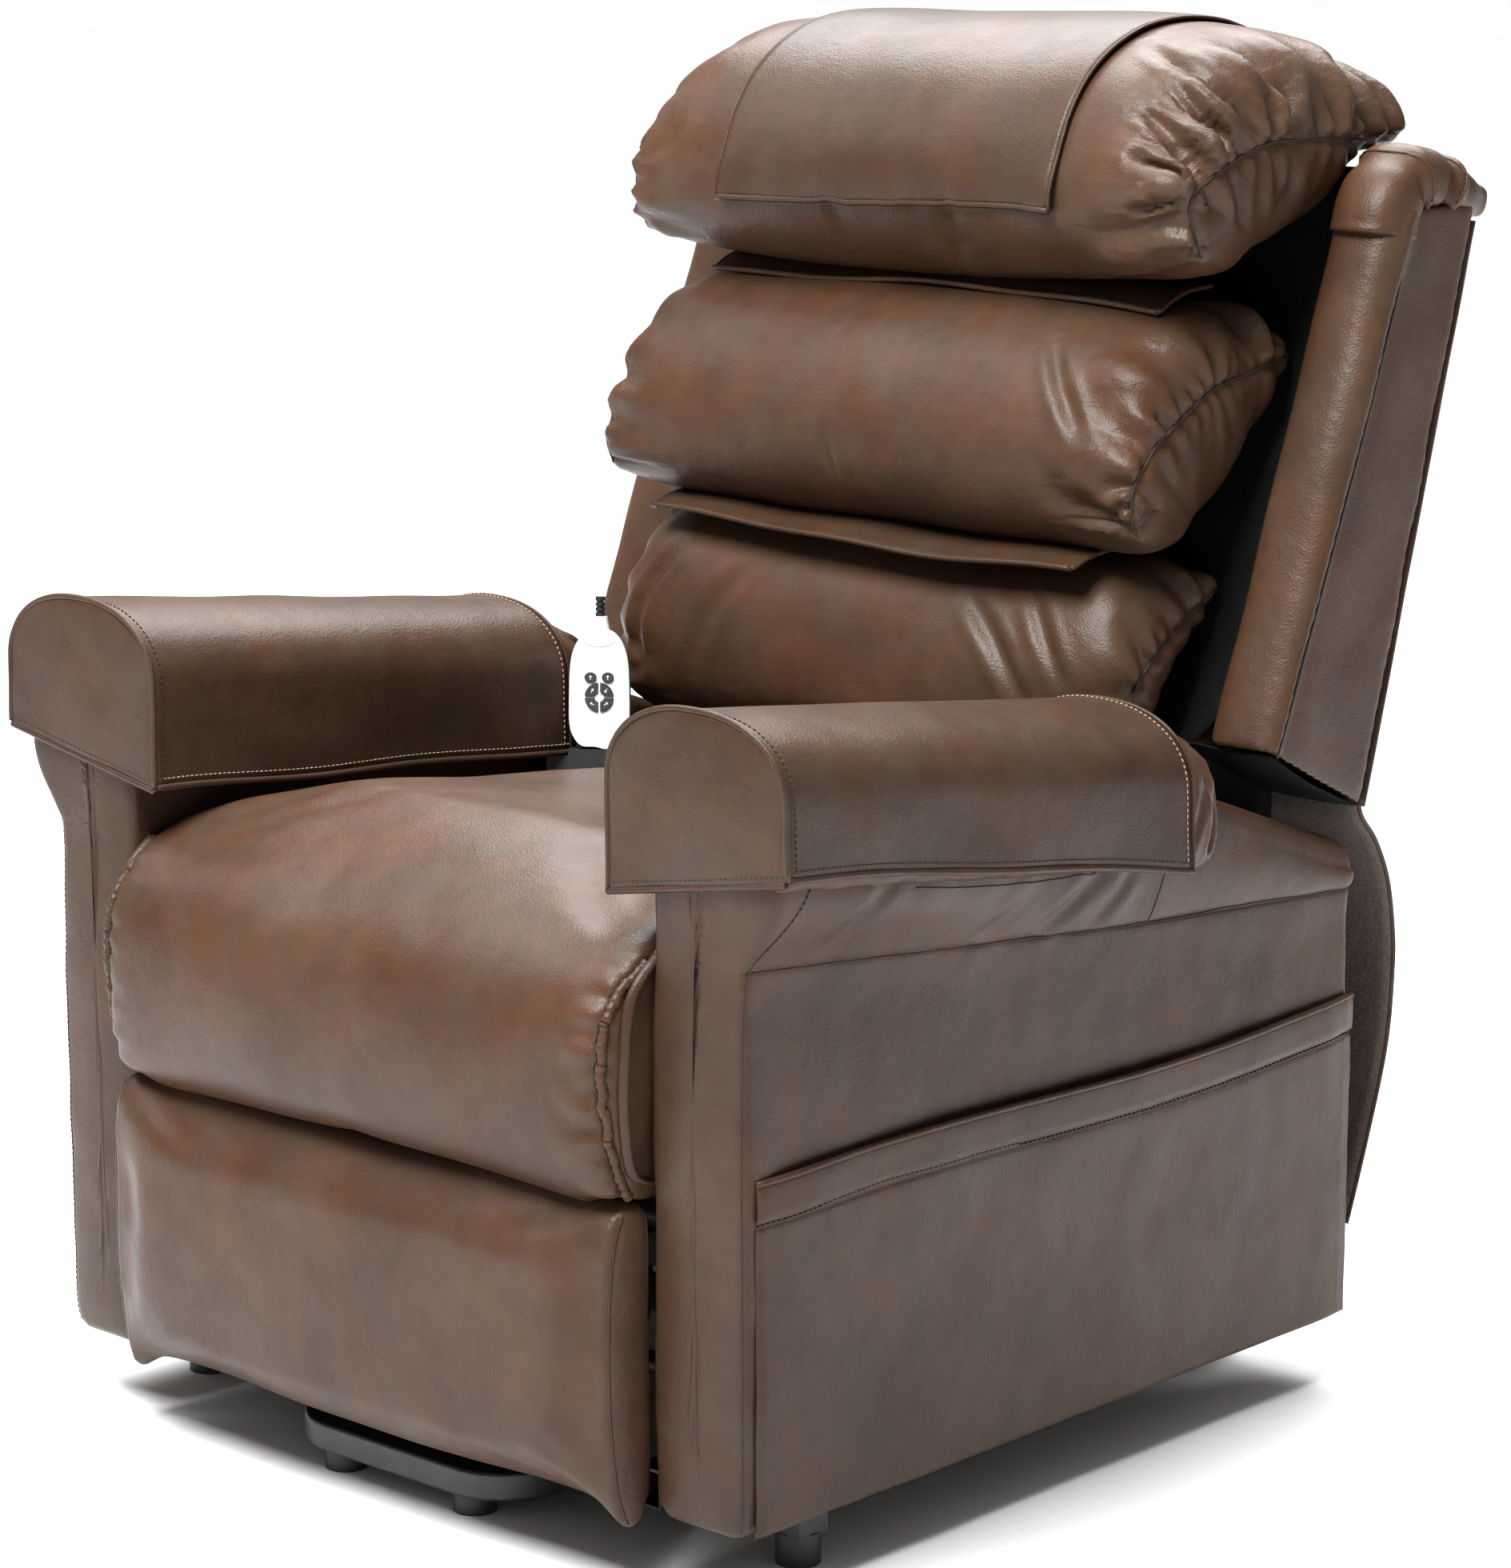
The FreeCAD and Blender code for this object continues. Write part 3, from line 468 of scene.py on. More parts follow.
def tree_of(piece):
    points = [vertex.co.copy() for vertex in piece.data.vertices]
    return BVHTree.FromPolygons(points, [tuple(polygon.vertices) for polygon in piece.data.polygons])


def mirror_copy(piece, name, body):
    """The same piece on the other side of the chair."""
    mesh = piece.data.copy()
    for vertex in mesh.vertices:
        vertex.co.x = -vertex.co.x
    mesh.flip_normals()
    copy = bpy.data.objects.new(name, mesh)
    scene.collection.objects.link(copy)
    if "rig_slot" in piece:
        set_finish(copy, piece["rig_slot"])
    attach(copy, body)
    return copy


def mirror_left(pieces, body):
    """Right-hand copies of left-hand pieces."""
    return [mirror_copy(piece, piece.name.replace("_left", "_right"), body) for piece in pieces]


def upholster(piece, body, node):
    """A padded piece that rides a body, and stands for a CAD node where one is named."""
    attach(piece, body)
    if node:
        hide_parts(node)


def upholster_pairs(body, *rows):
    """Left-hand padded pieces and then their mirror images.  A row is a piece, a node and a fill."""
    for piece, node, fill in rows:
        upholster(piece, body, node + "_left" if node else None)
    for piece, node, fill in rows:
        other = mirror_left([piece], body)[0]
        if node:
            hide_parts(node + "_right")


def lay_sheet(piece, body, node, flat):
    """A sheet that rides a body, and stands for a CAD node where one is named."""
    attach(piece, body)
    if node:
        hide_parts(node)


def lay_sheet_pair(piece, body, pair_nodes, flat, trims):
    """A left-hand sheet and its mirror image, each with its own trims."""
    lay_sheet(piece, body, pair_nodes[0], flat)
    other = mirror_left([piece], body)[0]
    if pair_nodes[1]:
        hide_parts(pair_nodes[1])
    mirror_left(trims, body)


# ---- seams, folds and stitches ------------------------------------------------------------
class Seam:
    """Finds, for any point, the place along a seam and the distance from it."""

    def __init__(self, path):
        self.path = path
        self.lengths = [0.0]
        for a, b in zip(path, path[1:]):
            self.lengths.append(self.lengths[-1] + (b - a).length)
        self.tree = KDTree(len(path))
        for i, p in enumerate(path):
            self.tree.insert(p, i)
        self.tree.balance()

    def near(self, point):
        found, index, distance = self.tree.find(point)
        return self.lengths[index], distance, found


def gathers(piece, path, seed, upper, lower, spacing, reach, depth, toward):
    """Folds that run off a gathered seam: deep on one side of it, slight on the other."""
    seam = Seam(even_line(path, 160))
    chance = random.Random(seed)
    folds = []
    s = spacing * 0.4
    while s < seam.lengths[-1]:
        folds.append((s, chance.uniform(0.45, 1.0) * reach, chance.uniform(0.5, 1.0) * depth,
                      chance.uniform(-0.35, 0.35), chance.uniform(0.0036, 0.0060)))
        s += spacing * chance.uniform(0.6, 1.5)
    mesh = piece.data
    normals = [vertex.normal.copy() for vertex in mesh.vertices]
    for vertex, normal in zip(mesh.vertices, normals):
        s, d, place = seam.near(vertex.co)
        if d > reach:
            continue
        share = upper if (vertex.co - place).dot(toward) > 0 else lower
        shift = 0.0
        for at, length, deep, tilt, width in folds:
            off = s - at - tilt * d
            wide = width + d * 0.11
            if abs(off) > 4 * wide or d > length:
                continue
            fade = (1.0 - d / length) ** 0.8
            shift -= deep * fade * math.exp(-(off / wide) ** 2)
            shift += 0.45 * deep * fade * math.exp(-((abs(off) - 2.0 * wide) / wide) ** 2)
        wander = 2.0 * noise.noise(place * 60)
        ripple = 0.0004 * math.cos(s * 2 * math.pi / 0.011 + wander) * math.exp(-d / 0.012)
        shift = (shift * ease(d / 0.008) + ripple) * share
        shift -= 0.0042 * math.exp(-(d / 0.0045) ** 2)
        vertex.co += normal * shift
    mesh.update()


def creases(piece, lines):
    """Long soft folds: each is a line with its depth and width."""
    mesh = piece.data
    normals = [vertex.normal.copy() for vertex in mesh.vertices]
    surface = tree_of(piece)
    for points, depth, width in lines:
        seam = Seam(laid_on(smooth_line(points, 60), surface)[0])
        total = seam.lengths[-1]
        for vertex, normal in zip(mesh.vertices, normals):
            s, d, _ = seam.near(vertex.co)
            if d > 4 * width:
                continue
            fade = math.sin(math.pi * min(max(s / total, 0.02), 0.98)) ** 0.6
            cut = -math.exp(-(d / width) ** 2) + 0.5 * math.exp(-((d - 2 * width) / width) ** 2)
            vertex.co += normal * cut * depth * fade
    mesh.update()


def uneven(piece, amount, scale, seed=0.0):
    """Slight hand-made unevenness."""
    mesh = piece.data
    normals = [vertex.normal.copy() for vertex in mesh.vertices]
    offset = Vector((seed, seed * 1.7, seed * 0.6))
    for vertex, normal in zip(mesh.vertices, normals):
        vertex.co += normal * noise.noise(vertex.co * scale + offset) * amount
    mesh.update()


def laid_on(path, surface, lift=0.0):
    """A path moved onto a surface, with the surface's directions."""
    points = []
    directions = []
    for p in path:
        place, direction, _, _ = surface.find_nearest(p)
        points.append(place + direction * lift)
        directions.append(direction)
    return points, directions


def calmed(path, rounds=6):
    """Takes the small jumps out of a path."""
    for _ in range(rounds):
        path = [path[0]] + [(a + b * 2 + c) / 4 for a, b, c in zip(path, path[1:], path[2:])] + [path[-1]]
    return path


def tube_mesh(path, radius, sides=6, flat=1.0):
    points = []
    total = len(path)
    up = Vector((0.13, 0.27, 0.95)).normalized()
    for i, p in enumerate(path):
        along = (path[min(i + 1, total - 1)] - path[max(i - 1, 0)]).normalized()
        across = along.cross(up)
        if across.length < 0.2:
            across = along.cross(Vector((1.0, 0.2, 0.0)))
        across.normalize()
        rise = along.cross(across)
        size = radius(i / (total - 1.0)) if callable(radius) else radius
        for k in range(sides):
            angle = 2 * math.pi * k / sides
            points.append(p + across * math.cos(angle) * size + rise * math.sin(angle) * size * flat)
    return points, ring_faces(total, sides)


def welt(name, path, radius, material, slot, body, sides=8):
    """A corded or rolled edge along a path."""
    points, faces = tube_mesh(path, radius, sides)
    return outward(add_piece(name, points, faces, material, slot, body))


def stitches(name, path, surface, material, body, pitch=0.0048, share=0.62, radius=0.00055, lift=0.0003):
    """Single stitches laid along a path: short rounded lengths of thread, sunk at both ends."""
    seam = Seam(even_line(path, 400))
    count = max(int(seam.lengths[-1] / pitch), 2)
    line = even_line(path, count * 4 + 1)
    if surface is not None:
        line, directions = laid_on(line, surface, lift)
    else:
        directions = [Vector((0, 0, 0))] * len(line)
    points = []
    faces = []
    for i in range(count):
        a = line[i * 4]
        b = line[min(i * 4 + 4, len(line) - 1)]
        middle = line[i * 4 + 2] + directions[i * 4 + 2] * radius * 0.5
        end = a.lerp(b, share)
        run = [a, a.lerp(middle, 0.6), middle.lerp(a.lerp(end, 0.5), 0.5), end.lerp(middle, 0.4), end]
        sizes = (0.45, 0.95, 1.0, 0.95, 0.45)
        new, found = tube_mesh(run, lambda t: radius * sizes[int(round(t * 4))], 5)
        base = len(points)
        points.extend(new)
        faces.extend(tuple(base + k for k in face) for face in found)
    return add_piece(name, points, faces, material, "leather_panel", body)


# ---- pillows of the back --------------------------------------------------------------------
BACK_BODY = "backrest"

LUMBAR = [(0.093, 0.560), (0.104, 0.500), (0.145, 0.462), (0.174, 0.480), (0.206, 0.560),
          (0.240, 0.636), (0.200, 0.658), (0.140, 0.650), (0.104, 0.612)]
MIDDLE = [(0.098, 0.712), (0.118, 0.672), (0.180, 0.658), (0.250, 0.682), (0.292, 0.748),
          (0.322, 0.815), (0.270, 0.848), (0.200, 0.846), (0.140, 0.818), (0.106, 0.765)]
HEAD = [(0.134, 0.915), (0.146, 0.878), (0.200, 0.860), (0.270, 0.862), (0.343, 0.886), (0.385, 0.945),
        (0.452, 0.962), (0.440, 1.004), (0.380, 1.040), (0.302, 1.054), (0.224, 1.043), (0.162, 0.996)]

LUMBAR_SEAM = [(0.121, 0.505), (0.122, 0.552), (0.137, 0.573), (0.162, 0.592), (0.196, 0.612),
               (0.232, 0.627)]
MIDDLE_SEAM = [(0.112, 0.684), (0.106, 0.708), (0.118, 0.731), (0.137, 0.750), (0.172, 0.771),
               (0.206, 0.787), (0.245, 0.795), (0.306, 0.803)]
HEAD_SEAM = [(0.172, 0.884), (0.162, 0.905), (0.158, 0.928), (0.180, 0.943), (0.223, 0.958),
             (0.262, 0.965), (0.320, 0.963), (0.381, 0.958), (0.430, 0.960)]


PILLOW_INSET = 0.0045
HEAD_TILT = 0.024


def pillow(name, outline, seam_line, half, closing, square, tilt=0.0):
    """A filled roll across the back whose ends close onto a curved side seam."""
    sides = 72
    ring = side_curve(outline, sides, closed=True)
    middle = centre_of(ring)
    ring = [p - (p - middle).normalized() * PILLOW_INSET for p in ring]
    targets = side_curve(seam_line, 60)
    aims = [min(targets, key=lambda t, q=p: (t - q).length) for p in ring]
    stations = []
    steps = 12
    for k in range(steps + 1):
        s = math.sin(math.pi / 2 * k / steps)
        stations.append((half - closing + closing * s, 1.0 - 0.985 * (1.0 - s ** square) ** (1.0 / square)))
    inner = half - closing
    straight = [(-inner + 2 * inner * k / 20.0, 0.0) for k in range(1, 20)]
    every = [(-x, s) for x, s in stations[::-1]] + straight + stations
    points = []
    for x, share in every:
        for p, aim in zip(ring, aims):
            q = p.lerp(aim, share)
            points.append(Vector((x, q.y, q.z + tilt * x)))
    piece = skin(name, points, sides)
    remeshed(piece, 0.006)
    relax(piece, 5)
    seams = []
    for side in (1, -1):
        seams.append([Vector((side * (half - 0.001), p.y, p.z + tilt * side * half)) for p in targets])
    finders = [Seam(path) for path in seams]

    def held(point):
        return 1.0 if min(finder.near(point)[1] for finder in finders) < 0.007 else 0.0

    inflate(piece, 0.026, held)
    relax(piece, 2)
    subdivided(piece)
    return piece, seams


PILLOW_RISE = Vector((0.0, -0.55, 0.83))
FAR_END_SHARE = 0.55


def trim_pillow(piece, seams, name, node, seed, spacing=0.0165, reach=0.100, depth=0.0100):
    for index, path in enumerate(seams):
        deep = depth * (1.0 if index == 0 else FAR_END_SHARE)
        gathers(piece, path, seed + index, 1.0, 0.35, spacing, reach, deep, PILLOW_RISE)
    uneven(piece, 0.0020, 11.0, seed)
    surface = tree_of(piece)
    for index, path in enumerate(seams):
        line = calmed(laid_on(even_line(path, 120), surface, 0.0002)[0], 8)
        side = "left" if index == 0 else "right"
        welt(name + "_seam_" + side, line, 0.0009, DARK_THREAD, "leather_cushion", BACK_BODY, 6)
    upholster(piece, BACK_BODY, node)
    return surface


def back_pillows():
    lumbar, seams = pillow("lumbar_pillow", LUMBAR, LUMBAR_SEAM, 0.268, 0.060, 2.2)
    creases(lumbar, [
        ([(0.110, 0.105, 0.630), (0.150, 0.098, 0.590), (0.185, 0.100, 0.545)], 0.0050, 0.0070),
        ([(0.165, 0.125, 0.635), (0.195, 0.110, 0.598), (0.222, 0.112, 0.560)], 0.0038, 0.0060),
        ([(-0.200, 0.120, 0.625), (-0.225, 0.115, 0.575), (-0.232, 0.120, 0.530)], 0.0040, 0.0060),
        ([(-0.120, 0.110, 0.620), (-0.150, 0.100, 0.575), (-0.165, 0.100, 0.530)], 0.0022, 0.0080),
    ])
    trim_pillow(lumbar, seams, "lumbar_pillow", "lumbar_cushion", 11, spacing=0.020, depth=0.0075)
    middle, seams = pillow("middle_pillow", MIDDLE, MIDDLE_SEAM, 0.279, 0.062, 2.3)
    creases(middle, [
        ([(0.165, 0.150, 0.822), (0.195, 0.120, 0.790), (0.225, 0.108, 0.755)], 0.0045, 0.0060),
        ([(-0.030, 0.105, 0.740), (-0.022, 0.103, 0.705), (-0.018, 0.110, 0.682)], 0.0016, 0.0050),
    ])
    trim_pillow(middle, seams, "middle_pillow", "middle_cushion", 23)
    head, seams = pillow("head_pillow", HEAD, HEAD_SEAM, 0.292, 0.105, 2.4, HEAD_TILT)
    creases(head, [
        ([(0.190, 0.230, 1.035), (0.220, 0.225, 1.005), (0.250, 0.225, 0.975)], 0.0045, 0.0060),
        ([(0.289, 0.146, 0.940), (0.270, 0.138, 0.936), (0.246, 0.132, 0.926)], 0.0065, 0.0042),
        ([(0.289, 0.158, 0.948), (0.268, 0.150, 0.956), (0.240, 0.146, 0.966)], 0.0060, 0.0044),
        ([(0.288, 0.178, 0.956), (0.262, 0.170, 0.980), (0.228, 0.168, 1.000)], 0.0060, 0.0050),
        ([(0.288, 0.200, 0.962), (0.264, 0.196, 0.994), (0.236, 0.200, 1.020)], 0.0050, 0.0046),
    ])
    return trim_pillow(head, seams, "head_pillow", "head_cushion", 37, reach=0.130, depth=0.0125)


# ---- sheets on the back ---------------------------------------------------------------------
def sheet_grid(name, rows, columns, place, material, slot):
    points = []
    for i in range(rows + 1):
        for j in range(columns + 1):
            points.append(place(j / columns, i / rows))
    faces = []
    wide = columns + 1
    for i in range(rows):
        for j in range(columns):
            a = i * wide + j
            faces.append((a, a + 1, a + wide + 1, a + wide))
    return add_piece(name, points, faces, material, slot, None)


def hide_sheet(name, rows, columns, place):
    return sheet_grid(name, rows, columns, place, HIDE_PANEL, "leather_panel")


def lining_sheet(name, rows, columns, place):
    return sheet_grid(name, rows, columns, place, LINING, "black_lining")


def rolled_edge(name, path, radius, body):
    return welt(name, path, radius, HIDE_PANEL, "leather_panel", body)


def head_cover(surface):
    """A loose leather cover over the crown of the head pillow."""
    half = 0.172
    line = side_curve([
        (0.128, 0.913), (0.140, 0.960), (0.166, 1.008), (0.216, 1.052), (0.300, 1.066), (0.372, 1.050),
        (0.422, 1.018), (0.446, 0.975),
    ], 61)

    def place(u, v):
        p = line[int(round(v * 60))]
        x = -half + 2 * half * u
        guess = Vector((x, p.y, p.z + HEAD_TILT * x))
        found, direction, _, _ = surface.find_nearest(guess)
        edge = abs(2 * u - 1)
        corner = ease((edge - 0.8) / 0.2) * ease((0.12 - v) / 0.12)
        ripple = 0.0012 * math.sin(u * 9.0 + 1.0) * ease((0.25 - v) / 0.25)
        droop = Vector((0, 0, -0.003 * math.sin(u * 5.0) * (1 - v)))
        return found + direction * (0.0016 + 0.006 * corner + ripple) + droop

    piece = hide_sheet("head_cover_sheet", 60, 56, place)
    relax(piece, 2)
    edges = {
        "left": [place(1.0, k / 60) for k in range(61)],
        "right": [place(0.0, k / 60) for k in range(61)],
        "hem": [place(k / 56, 0.0) for k in range(57)],
    }
    inner = {
        "left": [place(0.972, k / 60) for k in range(1, 60)],
        "right": [place(0.028, k / 60) for k in range(1, 60)],
        "hem": [place(k / 56, 0.020) for k in range(1, 56)],
    }
    thickened(piece, 0.0022, 1.0)
    top = tree_of(piece)
    for name, path in edges.items():
        thin = 0.0028 if name == "hem" else 0.0014
        lifted = [p + Vector((0, -0.0010, 0.0008)) for p in path]
        rolled_edge("head_cover_edge_" + name, lifted, thin, BACK_BODY)
    for name, path in inner.items():
        colour = DARK_THREAD if name == "hem" else TAN_THREAD
        stitches("head_cover_stitch_" + name, path, top, colour, BACK_BODY)
    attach(piece, BACK_BODY)
    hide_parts("head_cover")
    flat = (2 * half, run_length(line))


def flaps():
    """The two leather flaps that lie between the pillows."""
    for name, node, half, front, rear, z, rise, seed in (
        ("upper_flap", "cushion_flaps", 0.230, 0.194, 0.262, 0.850, 0.008, 1.0),
        ("lower_flap", None, 0.222, 0.104, 0.185, 0.658, 0.006, 4.0),
    ):
        def place(u, v):
            x = -half + 2 * half * u
            wave = 0.0030 * math.sin(x * 13.0 + seed) + 0.0012 * math.sin(x * 34.0 + 2 * seed)
            y = front + (rear - front) * v + 0.004 * math.sin(x * 9.0 + seed) * (1 - v)
            return Vector((x, y, z + rise * ease(v * 1.6) + wave * (1 - v) - 0.004 * ease(1 - v * 4)))

        piece = hide_sheet(name, 14, 60, place)
        edge = [place(k / 60, 0.0) for k in range(61)]
        sides = [[place(u, k / 14) for k in range(15)] for u in (0.0, 1.0)]
        thickened(piece, 0.0026, 0.0)
        trims = [rolled_edge(name + "_edge", edge, 0.0024, BACK_BODY)]
        for index, path in enumerate(sides):
            label = name + "_side_" + str(index + 1)
            trims.append(rolled_edge(label, path, 0.0019, BACK_BODY))
        lay_sheet(piece, BACK_BODY, node, (2 * half, rear - front))


BACK_LOW_Z = 0.455


def back_front(z):
    return 0.167 + (z - BACK_LOW_Z) * 0.445


def back_rear(z):
    return 0.301 + (z - BACK_LOW_Z) * 0.2848


def back_top_band():
    """Leather that turns over the top of the backrest's frame, below the head pillow."""
    half = 0.292
    line = side_curve([
        (0.4305, 0.898), (0.4345, 0.918), (0.4360, 0.930), (0.4310, 0.9362), (0.4150, 0.9370),
        (0.3950, 0.9370), (0.3820, 0.9380),
    ], 31)

    def place(u, v):
        p = line[int(round(v * 30))]
        return Vector((-half + 2 * half * u, p.y, p.z))

    piece = hide_sheet("back_top_band", 30, 60, place)
    thickened(piece, 0.0020, 0.0)
    lay_sheet(piece, BACK_BODY, None, (2 * half, run_length(line)))


def back_lining():
    def lining(u, v):
        z = 0.438 + (0.944 - 0.438) * v
        half = 0.267 + 0.028 * ease((z - 0.500) / 0.050)
        x = -half + 2 * half * u
        sag = 0.004 * math.sin(math.pi * u) * math.sin(math.pi * v)
        return Vector((x, back_front(z) + sag, z))

    front = lining_sheet("back_lining_sheet", 50, 60, lining)
    uneven(front, 0.0022, 26.0)
    thickened(front, 0.0014, 0.0)
    lay_sheet(front, BACK_BODY, "back_lining", (0.592, 0.554))


def back_cover():
    def cover(u, v):
        z = 0.458 + (0.904 - 0.458) * v
        x = -0.356 + 0.712 * u
        bow = 0.0032 * math.sin(math.pi * u) ** 0.5 * math.sin(math.pi * v) ** 0.5
        return Vector((x, back_rear(z) + 0.0018 + bow, z))

    rear = hide_sheet("back_cover_sheet", 60, 80, cover)
    uneven(rear, 0.0012, 14.0, 3.0)
    surface = tree_of(rear)
    thickened(rear, 0.0026, 0.0)
    for side, x in (("a", -0.175), ("b", 0.175)):
        path = [Vector((x, back_rear(z) + 0.006, z)) for z in (0.462, 0.55, 0.68, 0.80, 0.900)]
        line, _ = laid_on(even_line(path, 60), surface, 0.0012)
        name = "back_cover_seam_" + side
        welt(name, line, 0.0008, DARK_THREAD, "leather_panel", BACK_BODY, 6)
        for edge, shift in (("_in", -0.005), ("_out", 0.005)):
            row = [p + Vector((shift, 0, 0)) for p in line]
            name = "back_cover_stitch_" + side + edge
            stitches(name, row, surface, DARK_THREAD, BACK_BODY, lift=0.0016)
    hem = [cover(k / 40, 0.035) for k in range(41)]
    stitches("back_cover_stitch_hem", hem, surface, DARK_THREAD, BACK_BODY, lift=0.0016)
    lay_sheet(rear, BACK_BODY, "back_cover", (0.714, 0.466))


def dust_covers():
    """Black cloth under the foot of the backrest, with a flap down each side."""
    def dust_cover(u, v):
        y = 0.186 + (0.297 - 0.186) * v
        x = -0.352 + 0.704 * u
        line_z = 0.517 + (0.459 - 0.517) * (y - 0.182) / 0.116
        return Vector((x, y, line_z - 0.004 * math.sin(math.pi * v) * (0.6 + 0.4 * math.sin(x * 20.0))))

    under = lining_sheet("back_dust_cover", 16, 70, dust_cover)
    uneven(under, 0.0018, 30.0, 1.0)
    thickened(under, 0.0012, 0.0)
    lay_sheet(under, BACK_BODY, None, (0.704, 0.126))

    for label, x in (("left", 0.2688), ("right", -0.2688)):
        def side_flap(u, v, x=x):
            y = 0.180 + 0.119 * u
            return Vector((x + 0.0008 * math.sin(u * 9.0), y, 0.517 - 0.5 * (y - 0.182) - 0.055 * (1 - v)))

        piece = lining_sheet("back_dust_flap_" + label, 10, 20, side_flap)
        thickened(piece, 0.0012, 0.0)
        lay_sheet(piece, BACK_BODY, None, (0.133, 0.055))


def back_straps():
    for index, height in enumerate((0.520, 0.600, 0.680, 0.760, 0.840)):
        def strap(u, v, height=height):
            z = height - 0.022 + 0.044 * v
            x = -0.238 + 0.476 * u
            return Vector((x, back_front(z) + 0.0065 + 0.003 * math.sin(math.pi * u), z))

        piece = lining_sheet("back_strap_" + str(index + 1), 6, 40, strap)
        thickened(piece, 0.0018, 0.0)
        node = "back_webbing" if index == 0 else None
        lay_sheet(piece, BACK_BODY, node, (0.476, 0.049))


# ---- wings ------------------------------------------------------------------------------------
def wing_line(t):
    """Front and rear points of the wing's side, from its foot to its head."""
    front = Vector((0.0, 0.172, 0.522)).lerp(Vector((0.0, 0.322, 0.920)), t)
    rear = Vector((0.0, 0.298, 0.459)).lerp(Vector((0.0, 0.431, 0.918)), t)
    return front, rear


